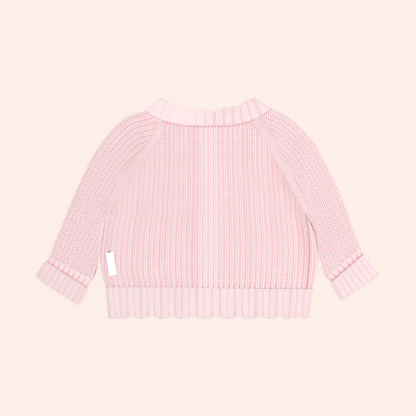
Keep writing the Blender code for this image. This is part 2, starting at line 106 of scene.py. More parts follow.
def read_table(places: Sequence[float], values: Sequence[float], at: Array) -> Array:
    """Reads the smooth curve through a table's rows.

    Args:
        places: the rows' places, rising or falling.
        values: the rows' values.
        at: where to read.

    Returns:
        The curve's values at those places.
    """
    p, v = np.asarray(places, float), np.asarray(values, float)
    if p[0] > p[-1]:
        p, v = p[::-1], v[::-1]
    slope = np.empty_like(v)
    slope[1:-1] = (v[2:] - v[:-2]) / (p[2:] - p[:-2])
    slope[0], slope[-1] = (v[1] - v[0]) / (p[1] - p[0]), (v[-1] - v[-2]) / (p[-1] - p[-2])
    row = np.clip(np.searchsorted(p, at) - 1, 0, len(p) - 2)
    span = p[row + 1] - p[row]
    part = (at - p[row]) / span
    square, cube = part ** 2, part ** 3
    return ((2 * cube - 3 * square + 1) * v[row] + (cube - 2 * square + part) * span * slope[row]
            + (3 * square - 2 * cube) * v[row + 1] + (cube - square) * span * slope[row + 1])


def near(place: Array, middle: Array, width: float) -> Array:
    """1 at a middle and falling off within about a width of it."""
    return np.exp(-((place - middle) / width) ** 2)


def scallop(place: Array, start: float, width: float) -> Array:
    """How deep a scalloped edge is notched at a place, from 0 to 1."""
    return (1.0 - np.abs(np.sin(math.pi * (place - start) / width))) ** 1.6


def quarter_bend(s: Array, reach: Array, arc: Array) -> tuple[Array, Array]:
    """Follows a bend from its crease: how far in it has come and how far it has risen."""
    angle = 0.5 * math.pi * np.minimum(s, arc) / arc
    return reach * (1.0 - np.cos(angle)) + np.maximum(s - arc, 0.0), np.sin(angle)


# ---- form of the cloth

class BodyRow(NamedTuple):
    """Edges of the back at one height."""

    y: float
    left: float
    right: float


class SleeveRow(NamedTuple):
    """One section across a sleeve, from its outer fold to the body."""

    outer_x: float
    outer_y: float
    back_y: float
    front_y: float
    clear: float = 0.0  # gap between the sleeve and the body's side


class CuffRow(NamedTuple):
    """Both ends of a line across a cuff's turned-up layer."""

    outer_x: float
    outer_y: float
    inner_x: float
    inner_y: float


class NeckLine(NamedTuple):
    """A line round the neck: its Y in the middle of the back, both its ends, and its climb."""

    lowest: float
    end_x: tuple
    end_y: tuple
    power: float


class SoftFold(NamedTuple):
    """A low ridge or trough, or a band of painted light and shade, along a curve through four points."""

    name: str
    path: tuple
    height: float
    left_width: float
    right_width: float


@dataclass(frozen=True)
class SweaterForm:
    """Sizes and outlines of the sweater's solids, with narrower gaps between the pieces."""

    wall: float = 2.8
    seam_gap: float = 0.08  # the pieces nearly touch where they are sewn
    middle: float = 3.4  # height of the place where the two layers meet
    fullness: float = 3.7  # height of the upper layer over it
    fold_reach: float = 4.4  # how far in a side fold's bend reaches
    sleeve_crown: float = 1.0  # how much fuller a sleeve is along its middle
    seam_line: NeckLine = NeckLine(110.7, (-85.0, 86.4), (131.0, 134.3), 3.0)
    edge_line: NeckLine = NeckLine(133.4, (-63.5, 62.1), (149.2, 149.2), 2.2)
    front_depth: float = 28.0  # how much lower the neck is at the front
    neck_scallop_depth: float = 3.4
    neck_drop: tuple = (3.0, 4.0, 18.0)  # depth, start and length of the sinking part
    hem_seam_y: tuple = (-106.2, -109.0)
    hem_edge_y: float = -149.2
    hem_scallop_depth: float = 4.7
    armpit_y: float = -9.0
    side_turn: tuple = (4.0, 22.0)  # start above the armpit, and length
    front_raglan: tuple = (19.0, 20.0, 76.0)  # shift, the Y where it starts, and length
    cuff_wall: float = 2.6
    cuff_half: float = 5.7  # half of a cuff's thickness
    cuff_inside: float = 0.2  # and of the gap inside its tube
    sleeve_rise_row: float = 9.4  # section at which a sleeve starts to rise into its cuff
    body_rows: tuple = (
        BodyRow(121.0, -60.0, 61.5), BodyRow(97.0, -68.8, 80.0), BodyRow(82.0, -78.2, 88.0),
        BodyRow(65.0, -91.8, 95.6), BodyRow(45.0, -108.2, 106.8), BodyRow(25.0, -120.4, 117.4),
        BodyRow(5.0, -132.0, 126.8), BodyRow(-9.0, -137.6, 131.6), BodyRow(-21.0, -139.4, 138.8),
        BodyRow(-38.0, -141.6, 144.6), BodyRow(-56.0, -143.8, 147.2),
        BodyRow(-78.0, -144.6, 147.8), BodyRow(-92.0, -142.6, 145.6),
        BodyRow(-107.0, -138.4, 141.8), BodyRow(-128.0, -136.2, 139.0),
        BodyRow(-150.0, -134.2, 136.2))
    left_sleeve: tuple = (
        SleeveRow(-85.0, 131.0, 118.2, 96.0), SleeveRow(-104.0, 125.5, 100.5, 88.0),
        SleeveRow(-120.2, 115.4, 82.0, 76.0), SleeveRow(-135.0, 99.2, 65.0, 63.0),
        SleeveRow(-147.2, 83.0, 45.0, 45.0), SleeveRow(-158.0, 65.5, 25.0, 25.0),
        SleeveRow(-167.4, 46.6, 5.0, 5.0), SleeveRow(-175.5, 29.0, -9.0, -9.0),
        SleeveRow(-185.0, 7.4, -29.0, -29.0), SleeveRow(-195.8, -19.6, -56.0, -56.0),
        SleeveRow(-205.2, -42.5, -77.0, -77.0, 1.2), SleeveRow(-212.6, -64.1, -95.2, -95.2, 13.2))
    right_sleeve: tuple = (
        SleeveRow(86.4, 134.3, 119.7, 97.4), SleeveRow(102.6, 127.6, 102.0, 89.0),
        SleeveRow(117.5, 116.8, 84.4, 78.0), SleeveRow(131.0, 103.3, 64.1, 62.0),
        SleeveRow(144.5, 88.4, 42.5, 42.5), SleeveRow(153.9, 70.9, 22.3, 22.3),
        SleeveRow(163.4, 52.0, 4.7, 4.7), SleeveRow(171.5, 35.8, -9.0, -9.0),
        SleeveRow(182.3, 11.5, -27.7, -27.7), SleeveRow(191.7, -14.2, -53.3, -53.3),
        SleeveRow(198.5, -33.1, -76.3, -76.3, 1.2), SleeveRow(205.2, -52.0, -92.5, -92.5, 12.5))
    left_cuff: tuple = (
        CuffRow(-215.4, -63.3, -152.7, -97.5), CuffRow(-220.0, -70.9, -160.7, -109.4),
        CuffRow(-234.0, -92.8, -172.8, -133.0))
    right_cuff: tuple = (
        CuffRow(207.7, -50.6, 156.2, -95.0), CuffRow(211.3, -60.7, 164.0, -101.3),
        CuffRow(234.2, -89.8, 179.6, -126.9))
    soft_folds: tuple = (
        SoftFold("right side ridge", ((94, 62), (126, 11), (140, -42), (138, -104)), 2.7, 7, 13),
        SoftFold("right side trough", ((80, 82), (104, 24), (122, -20), (128, -70)), -0.7, 7, 6),
        SoftFold("right raglan ridge", ((84, 108), (93, 92), (103, 72), (112, 50)), 0.9, 6, 8),
        SoftFold("right neck dip", ((50, 108), (57, 109), (66, 109), (74, 106)), -0.6, 8, 8),
        SoftFold("left raglan trough", ((-92, 80), (-98, 68), (-105, 54), (-113, 37)), -0.6, 6, 6),
        SoftFold("left armpit dip", ((-134, 14), (-138, 4), (-139, -6), (-138, -14)), -0.5, 5, 6),
        SoftFold("left hem swell", ((-107, -50), (-92, -84), (-60, -86), (-44, -32)), 0.5, 9, 9),
        SoftFold("right hem swell", ((60, -34), (68, -76), (98, -86), (118, -62)), 0.5, 9, 9),
        SoftFold("middle swell", ((3, 96), (4, 30), (4, -40), (4, -100)), 0.5, 15, 15),
        SoftFold("left sleeve ridge", ((-147, 6), (-150, -14), (-155, -34), (-163, -52)), 0.7, 11, 9),
        SoftFold("right sleeve ridge", ((148, 44), (154, 24), (160, 4), (166, -14)), 0.6, 9, 10))
    # Painted light and shade: lighter on the ridges and swells of the soft folds above and along the
    # flatter middle, darker in their troughs and dips and in the strips beside the middle.
    painted_shading: tuple = (
        SoftFold("middle stripe", ((4, 104), (4, 30), (4, -40), (5, -112)), 0.25, 15, 15),
        SoftFold("strip left of it", ((-26, 108), (-25, 50), (-24, -20), (-24, -70)), -0.2, 9, 9),
        SoftFold("strip right of it", ((33, 108), (34, 40), (36, -20), (36, -70)), -0.2, 11, 11),
        SoftFold("right trough", ((78, 82), (104, 30), (124, -24), (129, -100)), -1.0, 7, 5),
        SoftFold("left raglan", ((-94, 84), (-101, 64), (-108, 46), (-116, 32)), -0.7, 7, 7),
        SoftFold("left armpit", ((-132, 16), (-137, 6), (-139, -4), (-138, -14)), -0.6, 5, 6),
        SoftFold("right neck", ((50, 108), (57, 109), (66, 109), (74, 106)), -0.5, 6, 6),
        SoftFold("right raglan", ((86, 110), (94, 92), (104, 72), (114, 50)), 0.7, 5, 9),
        SoftFold("left hem arc", ((-107, -50), (-92, -84), (-60, -86), (-44, -32)), 0.4, 8, 8),
        SoftFold("right hem arc", ((60, -34), (68, -76), (98, -86), (118, -62)), 0.4, 8, 8))

    def pick(self, pair: tuple, x: Array) -> Array:
        """The left or the right one of a pair of sizes, by the sign of X."""
        return np.where(x < 0, pair[0], pair[1])

    def body_edge(self, side: int, y: Array) -> Array:
        """X of the back's edge on one side, -1 for left and 1 for right."""
        column = [row.left if side < 0 else row.right for row in self.body_rows]
        return read_table([row.y for row in self.body_rows], column, y)

    def front_edge(self, side: int, y: Array) -> Array:
        """X of the front's edge, which lies further in near the neck."""
        shift, start, length = self.front_raglan
        return self.body_edge(side, y) - side * shift * (np.maximum(y - start, 0.0) / length) ** 2

    def panel_edge(self, layer: Layer, side: int, y: Array) -> Array:
        """X of the edge of the back or the front."""
        edge = self.body_edge if layer is Layer.UPPER else self.front_edge
        return edge(side, y)

    def neck_y(self, line: NeckLine, layer: Layer, x: Array) -> Array:
        """Follows a line round the neck.

        Args:
            line: the neckband's seam or its free edge.
            layer: its part on the back, or on the front, where it hangs lower.
            x: X of the places.

        Returns:
            Y of the line.
        """
        share = x / self.pick(line.end_x, x)
        y = line.lowest + (self.pick(line.end_y, x) - line.lowest) * np.abs(share) ** line.power
        dip = self.front_depth * np.maximum(1.0 - share ** 2, 0.0) ** 2
        return y if layer is Layer.UPPER else y - dip

    def hem_seam(self, x: Array) -> Array:
        """Y of the seam above the hem bands."""
        left, right = (float(self.body_edge(s, y)) for s, y in zip((-1, 1), self.hem_seam_y))
        return mix(self.hem_seam_y[0], self.hem_seam_y[1], (x - left) / (right - left))

    def turned(self, y: Array) -> Array:
        """How far a side edge has turned in: 0 on the raglan seams, 1 on the folded sides."""
        start, length = self.side_turn
        return ease((self.armpit_y + start - y) / length)

    def neck_sink(self, x: Array, y: Array) -> Array:
        """How far the back of the neck sinks into the neck opening."""
        depth, start, length = self.neck_drop
        return depth * ease((y - self.neck_y(self.edge_line, Layer.LOWER, x) - start) / length)

    def from_raglan(self, side: int, x: Array, y: Array) -> tuple[Array, Array]:
        """Where places lie beside a raglan seam.

        Args:
            side: -1 for the left seam and 1 for the right one.
            x: X of the places.
            y: Y of the places.

        Returns:
            Distance from the seam, into the body, and how far along it.
        """
        heights = np.arange(-40.0, 140.0, 2.0)
        edge = self.body_edge(side, heights)
        slope = np.gradient(edge, heights)
        length = np.cumsum(np.hypot(1.0, slope)) * 2.0
        inwards = side * (np.interp(y, heights, edge) - x) / np.hypot(1.0, np.interp(y, heights, slope))
        return inwards, np.interp(y, heights, length)


class FieldMap:
    """Sum of soft folds over the whole sweater, worked out once on a fine grid."""

    def __init__(self, base: float, folds: Sequence[SoftFold], reach: float = 245.0,
                 step: float = 1.0) -> None:
        """Fills the grid.

        Args:
            base: value where there is no fold.
            folds: the folds that are added.
            reach: half of the grid's side.
            step: distance between two of its points.
        """
        self.low, self.step = -reach, step
        ticks = np.arange(-reach, reach + step, step)
        x, y = np.meshgrid(ticks, ticks)
        self.values = np.full(x.shape, base)
        for fold in folds:
            self.values += self.fold_value(fold, x, y)

    @staticmethod
    def fold_value(fold: SoftFold, x: Array, y: Array, steps: int = 12) -> Array:
        """What one soft fold adds.

        Args:
            fold: the fold.
            x: X of the places.
            y: Y of the places.
            steps: straight pieces that its curve is measured by.

        Returns:
            Its height at each place.
        """
        places, at = (0.0, 1.0, 2.0, 3.0), np.linspace(0.0, 3.0, steps + 1)
        line_x = read_table(places, [p[0] for p in fold.path], at)
        line_y = read_table(places, [p[1] for p in fold.path], at)
        nearest = np.full(x.shape, np.inf)
        share, across = np.zeros(x.shape), np.zeros(x.shape)
        for i in range(steps):
            ax, ay = line_x[i + 1] - line_x[i], line_y[i + 1] - line_y[i]
            px, py = x - line_x[i], y - line_y[i]
            part = np.clip((px * ax + py * ay) / (ax * ax + ay * ay), 0.0, 1.0)
            dx, dy = px - ax * part, py - ay * part
            distance = np.hypot(dx, dy)
            closer = distance < nearest
            nearest = np.where(closer, distance, nearest)
            share = np.where(closer, (i + part) / steps, share)
            across = np.where(closer, ax * dy - ay * dx, across)
        goes_down = fold.path[-1][1] < fold.path[0][1]
        to_left = across < 0 if goes_down else across > 0
        width = np.where(to_left, fold.left_width, fold.right_width)
        fading = ease(share / 0.3) * ease((1.0 - share) / 0.3)
        return fold.height * fading * np.exp(-(nearest / width) ** 2)

    def read(self, x: Array, y: Array) -> Array:
        """Values at many places, blended between the grid's points.

        Args:
            x: X of the places.
            y: Y of the places.

        Returns:
            The values.
        """
        last = self.values.shape[0] - 2
        column, row = (x - self.low) / self.step, (y - self.low) / self.step
        i, j = (np.clip(place.astype(int), 0, last) for place in (column, row))
        u, v, grid = column - i, row - j, self.values
        low = mix(grid[j, i], grid[j, i + 1], u)
        return mix(low, mix(grid[j + 1, i], grid[j + 1, i + 1], u), v)


# ---- stitches

@dataclass(frozen=True)
class Stitch:
    """Gauge and relief of one kind of knit.

    A repeat is what lies between two deep grooves, and holds one or more wales. A stitch's
    legs climb from the middle of its wale to its sides.
    """

    row: float  # height of one row
    wales: int  # wales in a repeat
    groove_share: float  # share of a repeat that its groove takes
    groove_depth: float
    wale_depth: float  # how far the surface dips between two wales of a repeat
    middle_depth: float  # and along the middle of a wale
    strand_depth: float  # and between two strands
    shade_depth: float  # depth at which the painted shade in the grooves is darkest
    climb: float  # rows that a leg climbs
    crest: float  # height of the highest strands over the cloth's form
    samples: int  # mesh columns in a repeat
    row_samples: int  # and mesh rows in a row

    def place_in_wale(self, w: Array) -> tuple[Array, Array]:
        """Where places lie across the repeat.

        Args:
            w: wales.

        Returns:
            Distance from the wale's middle, 0 to 1, and how deep in the repeat's groove.
        """
        in_repeat = np.mod(w, 1.0)
        half_groove = 0.5 * self.groove_share
        groove = ease(1.0 - np.minimum(in_repeat, 1.0 - in_repeat) / half_groove)
        plain = np.clip((in_repeat - half_groove) / (1.0 - self.groove_share), 0.0, 1.0)
        away = np.abs(2.0 * np.mod(plain * self.wales, 1.0) - 1.0)
        return away, groove

    def shift(self, w: Array) -> Array:
        """How many rows a course of stitches climbs at a place across the repeat."""
        return self.climb * self.place_in_wale(np.asarray(w, float))[0]

    def relief(self, w: Array, r: Array) -> Array:
        """Height of the stitches over the cloth's form.

        Args:
            w: wales.
            r: rows.

        Returns:
            The heights.
        """
        away, groove = self.place_in_wale(w)
        phase = np.mod(r - self.climb * away, 1.0)
        gap = 0.5 + 0.5 * np.cos(2.0 * math.pi * phase)
        ends = 0.5 + 0.5 * np.cos(2.0 * math.pi * away)
        middle = (1.0 - ease(away / 0.45)) * self.middle_depth
        side = ease((away - 0.5) / 0.5) * self.wale_depth
        between = gap * self.strand_depth * (0.30 + 0.70 * ends)
        in_groove = groove * self.groove_depth * (0.40 + 0.60 * gap)
        return self.crest - middle - side - between - in_groove


@dataclass
class Patch:
    """A surface meshed along its wales.

    Each vertex has a wale and a row coordinate. Sides hold the vertices along the columns'
    low and high ends, and the first and the last column.
    """

    w: list = field(default_factory=list)
    r: list = field(default_factory=list)
    faces: list = field(default_factory=list)
    sides: dict = field(default_factory=dict)


def join_lines(a: Sequence[int], a_keys: Sequence[float], b: Sequence[int],
               b_keys: Sequence[float]) -> list:
    """Faces between two lines of vertices, in step where their keys are equal.

    Args:
        a: vertices of the first line.
        a_keys: their keys, rising.
        b: vertices of the second line.
        b_keys: their keys, rising.

    Returns:
        Quads and triangles from the lines' starts to their ends.
    """
    faces, i, j = [], 0, 0
    while i < len(a) - 1 or j < len(b) - 1:
        next_a = a_keys[i + 1] if i < len(a) - 1 else 2 * END_KEY
        next_b = b_keys[j + 1] if j < len(b) - 1 else 2 * END_KEY
        if next_a == next_b:
            faces.append((a[i], b[j], b[j + 1], a[i + 1]))
            i, j = i + 1, j + 1
        elif next_a < next_b:
            faces.append((a[i], b[j], a[i + 1]))
            i += 1
        else:
            faces.append((a[i], b[j], b[j + 1]))
            j += 1
    return faces


def mesh_columns(columns: Sequence[tuple], shift: Callable, step: float, ring: bool) -> Patch:
    """Meshes columns of stitches whose rows of vertices follow the stitches' own climb.

    Args:
        columns: (wale coordinate, low row, high row) of each column, in order.
        shift: gives the rows that a course climbs at a wale coordinate.
        step: rows between two vertices.
        ring: whether the last column joins the first.

    Returns:
        The patch. Its outline passes exactly through the columns' ends.
    """
    patch, lines = Patch(), []
    for w, low, high in columns:
        start = len(patch.w)
        if high - low < SHORTEST * step:
            rows, keys = [low], [-END_KEY]
        else:
            climb = float(shift(w))
            first = math.ceil((low - climb) / step + END_GAP)
            last = math.floor((high - climb) / step - END_GAP)
            inside = list(range(first, last + 1))
            rows = [low] + [climb + k * step for k in inside] + [high]
            keys = [-END_KEY] + inside + [END_KEY]
        patch.w += [w] * len(rows)
        patch.r += rows
        lines.append((list(range(start, start + len(rows))), keys))
    around = lines + (lines[:1] if ring else [])
    for before, after in zip(around, around[1:]):
        patch.faces += join_lines(*before, *after)
    patch.sides = {"low": [line[0][0] for line in around],
                   "high": [line[0][-1] for line in around]}
    if not ring:
        patch.sides["first"], patch.sides["last"] = lines[0][0], lines[-1][0]
    return patch


def add(operator: Callable, name: str, **settings: Any) -> bpy.types.Object:
    """Adds one object with nothing else selected.

    Args:
        operator: the operator that adds it.
        name: its name, and its data's.
        settings: the operator's own settings.

    Returns:
        The object.
    """
    bpy.ops.object.select_all(action="DESELECT")
    operator(**settings)
    added = bpy.context.active_object
    added.name = added.data.name = name
    return added


def raised(surface: Surface, w: Array, r: Array, amount: Array, sign: float) -> Array:
    """Points of a surface moved out along its own normals.

    Args:
        surface: the surface.
        w: wales.
        r: rows.
        amount: how far each is moved.
        sign: 1 where wale x row points outwards, or else -1.

    Returns:
        The points.
    """
    small = 0.02
    across = surface(w + small, r) - surface(w - small, r)
    along = surface(w, r + small) - surface(w, r - small)
    normal = np.cross(across, along) * sign
    normal /= np.maximum(np.linalg.norm(normal, axis=1, keepdims=True), 1e-9)
    return surface(w, r) + normal * amount[:, None]


def make_object(name: str, points: Array, faces: Sequence[tuple], marks: dict,
                period: float = 0.0, rim_faces: int = 0) -> bpy.types.Object:
    """Makes a smooth object from points in millimetres.

    Args:
        name: the object's name.
        points: one row for each vertex.
        faces: vertex indices of each face.
        marks: wale, row, painted groove shade and tint of each vertex.
        period: wales round a ring, whose coordinate starts again at one line.
        rim_faces: how many of the last faces are on a rim and shaded flat.

    Returns:
        The object, in the scene, with its faces pointing out.
    """
    mesh = bpy.data.meshes.new(name)
    mesh.from_pydata((points * MM).tolist(), [], faces)
    form = bmesh.new()
    form.from_mesh(mesh)
    bmesh.ops.recalc_face_normals(form, faces=form.faces)
    form.to_mesh(mesh)
    form.free()
    corners = np.empty(len(mesh.loops), int)
    mesh.loops.foreach_get("vertex_index", corners)
    uv = np.column_stack([marks["wale"], marks["row"]])[corners]
    if period:
        starts = np.empty(len(mesh.polygons), int)
        mesh.polygons.foreach_get("loop_start", starts)
        highest = np.maximum.reduceat(uv[:, 0], starts)
        owner = np.repeat(highest, np.diff(np.append(starts, len(corners))))
        uv[:, 0] += period * (uv[:, 0] < owner - 0.5 * period)
    layer = mesh.uv_layers.new(name=YARN_UV)
    layer.data.foreach_set("uv", uv.astype(np.float32).ravel())
    for mark in (GROOVE_SHADE, TINT):
        attribute = mesh.attributes.new(mark, "FLOAT", "POINT")
        attribute.data.foreach_set("value", np.asarray(marks[mark], np.float32))
    smooth = np.arange(len(mesh.polygons)) < len(mesh.polygons) - rim_faces
    mesh.polygons.foreach_set("use_smooth", smooth)
    piece = bpy.data.objects.new(name, mesh)
    bpy.context.scene.collection.objects.link(piece)
    log.info("%s: %d faces", name, len(faces))
    return piece


def crossing(test: Callable, w: Array, low: Array, high: Array) -> Array:
    """Finds the rows where a test turns from negative to positive.

    Args:
        test: a function of (wale, row).
        w: wales.
        low: rows where it is negative.
        high: rows where it is positive.

    Returns:
        The rows between them.
    """
    for _ in range(HALVINGS):
        tried = 0.5 * (low + high)
        positive = test(w, tried) > 0
        low, high = np.where(positive, low, tried), np.where(positive, tried, high)
    return 0.5 * (low + high)


def no_shift(w: float) -> float:
    """Shift of the plain rows of an inner surface."""
    return 0.0


def everywhere(w: Array, r: Array) -> Array:
    """1 all over a piece."""
    return np.ones(len(w))


@dataclass
class Cloth:
    """One closed shell of knitted cloth, made from a surface and its columns."""

    name: str
    surface: Surface  # place of the cloth's outer form at (wale, row)
    columns: Callable  # gives (wale, low row, high row) of columns, for a step
    stitch: Stitch
    wall: float
    sign: float = 1.0  # 1 where wale x row points outwards
    period: float = 0.0  # wales round a ring
    ground: Optional[Surface] = None  # 1 where the relief must not pass what it lies on
    depth: Optional[Surface] = None  # scales the relief
    shape: Optional[Callable] = None  # changes the relief, from (wale, row, relief)
    roll: Optional[Surface] = None  # how far a free edge is rounded down
    tint: Optional[Surface] = None  # lighter or darker cloth: painted light and shade, and tone
    rim: float = -0.5  # highest relief on the outline
    snug: Optional[Surface] = None  # 1 where the cloth is pressed to its neighbour
    coarse: float = 1.0  # 2 for half as many columns and rows, on hidden pieces
    back_step: float = 1.0  # repeats between two columns of the inner surface
    back_rows: float = 4.0

    def relief(self, w: Array, r: Array) -> tuple[Array, Array]:
        """Relief of the cloth.

        Args:
            w: wales.
            r: rows.

        Returns:
            Its height over its form, and how far down it is in its stitches, which sets the painted shade
            in the grooves.
        """
        stitch = self.stitch
        height = stitch.relief(w, r)
        if self.depth is not None:
            height = stitch.crest + (height - stitch.crest) * self.depth(w, r)
        if self.shape is not None:
            height = self.shape(w, r, height)
        # Painted shade in the grooves, by how deep the relief lies.
        groove_shade = np.clip((stitch.crest - height) / stitch.shade_depth, 0.0, 1.0)
        if self.roll is not None:
            height = height - self.roll(w, r)
        if self.snug is not None:
            height = height * (1.0 - self.snug(w, r))
        if self.ground is not None:
            height = np.minimum(height, stitch.crest * (1.0 - self.ground(w, r)))
        return height, groove_shade

    def build(self) -> bpy.types.Object:
        """Makes the outer surface, the inner surface and the rim between them.

        Returns:
            The object.
        """
        stitch, ring = self.stitch, self.period > 0
        outer = mesh_columns(self.columns(self.coarse / stitch.samples), stitch.shift,
                             self.coarse / stitch.row_samples, ring)
        inner = mesh_columns(self.columns(self.back_step), no_shift, self.back_rows, ring)
        w, r = np.array(outer.w), np.array(outer.r)
        amount, groove_shade = self.relief(w, r)
        edge = sorted({v for side in outer.sides.values() for v in side})
        free = 1.0 if self.snug is None else 1.0 - self.snug(w, r)[edge]
        amount[edge] = np.minimum(amount[edge], self.rim * free)
        back_w, back_r = np.array(inner.w), np.array(inner.r)
        inset = np.full(len(back_w), -self.wall)
        points = np.vstack([raised(self.surface, w, r, amount, self.sign),
                            raised(self.surface, back_w, back_r, inset, self.sign)])
        count = len(w)
        faces = outer.faces + [tuple(v + count for v in face[::-1]) for face in inner.faces]
        smooth_faces = len(faces)
        for side, line in outer.sides.items():
            across, back_across = (w, back_w) if side in ("low", "high") else (r, back_r)
            other = inner.sides[side]
            faces += join_lines(line, self.keys(across[line]),
                                [v + count for v in other], self.keys(back_across[other]))
        marks = {"wale": np.concatenate([w, back_w]),
                 "row": np.concatenate([r - stitch.shift(w), back_r]),
                 GROOVE_SHADE: np.concatenate([groove_shade, np.full(len(back_w), INNER_GROOVE_SHADE)]),
                 TINT: np.zeros(len(points))}
        if self.tint is not None:
            marks[TINT][:count] = self.tint(w, r)
        return make_object(self.name, points, faces, marks, self.period,
                           len(faces) - smooth_faces)

    def keys(self, values: Array) -> list:
        """Measures one side of the outline.

        Args:
            values: coordinates of its vertices.

        Returns:
            Rising keys, as shares of its length.
        """
        if self.period and values[-1] <= values[0]:
            values = np.append(values[:-1], values[0] + self.period)
        if len(values) == 1:
            return [0.0]
        return list((values - values[0]) / (values[-1] - values[0]))


# ---- finishes

class Wire:
    """A node's output that reads like a number in a Python expression."""

    def __init__(self, sheet: "NodeSheet", socket: bpy.types.NodeSocket) -> None:
        """Keeps the socket and the sheet that its node is on."""
        self.sheet, self.socket = sheet, socket

    def maths(self, operation: str, *values: Any) -> "Wire":
        """Adds a Math node."""
        return self.sheet.node("ShaderNodeMath", {"operation": operation}, dict(enumerate(values)))

    def __add__(self, other: Any) -> "Wire":
        """Sum."""
        return self.maths("ADD", self, other)

    def __radd__(self, other: Any) -> "Wire":
        """Reflected sum."""
        return self.maths("ADD", other, self)

    def __sub__(self, other: Any) -> "Wire":
        """Difference."""
        return self.maths("SUBTRACT", self, other)

    def __rsub__(self, other: Any) -> "Wire":
        """Reflected difference."""
        return self.maths("SUBTRACT", other, self)

    def __mul__(self, other: Any) -> "Wire":
        """Product."""
        return self.maths("MULTIPLY", self, other)

    def __rmul__(self, other: Any) -> "Wire":
        """Reflected product."""
        return self.maths("MULTIPLY", other, self)

    def wave(self) -> "Wire":
        """Sine of a number of turns, from 0 to 1."""
        return self.maths("SINE", self * (2.0 * math.pi)) * 0.5 + 0.5

    def clipped(self) -> "Wire":
        """The same number kept between 0 and 1."""
        return self.maths("MINIMUM", self.maths("MAXIMUM", self, 0.0), 1.0)


class NodeSheet:
    """A material's nodes."""

    def __init__(self, name: str) -> None:
        """Starts a material with only its shader and its output.

        Args:
            name: the material's name.
        """
        self.material = bpy.data.materials.new(name)
        self.material.use_nodes = True
        self.tree = self.material.node_tree
        self.shader = self.tree.nodes["Principled BSDF"]

    def node(self, kind: str, settings: dict, inputs: dict, output: Union[int, str] = 0) -> Wire:
        """Adds any node.

        Args:
            kind: the node's type.
            settings: its own settings, which are set first.
            inputs: values or wires for its sockets, by name or number.
            output: which output to return.

        Returns:
            One of the node's outputs.
        """
        made = self.tree.nodes.new(kind)
        for key, value in settings.items():
            setattr(made, key, value)
        for key, value in inputs.items():
            self.plug(made.inputs[key], value)
        return Wire(self, made.outputs[output])

    def plug(self, socket: bpy.types.NodeSocket, value: Any) -> None:
        """Links a wire to a socket, or sets the socket's own value.

        Args:
            socket: the socket.
            value: a wire or a plain value.
        """
        if isinstance(value, Wire):
            self.tree.links.new(value.socket, socket)
        else:
            socket.default_value = value

    def blend(self, amount: Wire, start: Any, end: Any) -> Wire:
        """Blends two colours."""
        return self.node("ShaderNodeMix", {"data_type": "RGBA"}, {0: amount, 6: start, 7: end}, 2)

    def mark(self, name: str) -> Wire:
        """Reads one of the mesh's own attributes."""
        return self.node("ShaderNodeAttribute", {"attribute_name": name}, {}, "Fac")

    def noise(self, size: float, detail: float = 2.0) -> Wire:
        """Noise on the object's own coordinates, whose lumps are about size metres across."""
        place = self.node("ShaderNodeTexCoord", {}, {}, "Object")
        return self.node("ShaderNodeTexNoise", {},
                         {"Vector": place, "Scale": 1.0 / size, "Detail": detail}, "Fac")

    def along_yarn(self) -> tuple[Wire, Wire]:
        """Wales across and rows along a piece, from its own UV map.

        Returns:
            Both coordinates.
        """
        uv = self.node("ShaderNodeUVMap", {"uv_map": YARN_UV}, {})
        across = self.node("ShaderNodeSeparateXYZ", {}, {0: uv}, "X")
        return across, Wire(self, across.socket.node.outputs["Y"])

    def dressed(self, values: dict) -> bpy.types.Material:
        """Sets the shader's sockets.

        Args:
            values: values or wires by the sockets' names.

        Returns:
            The finished material.
        """
        for name, value in values.items():
            self.plug(self.shader.inputs[name], value)
        return self.material

    def bump(self, height: Wire, distance: float, strength: float) -> Wire:
        """Normal of a bumpy surface, with heights of up to distance metres."""
        return self.node("ShaderNodeBump", {}, {"Height": height, "Distance": distance,
                                                "Strength": strength}, "Normal")


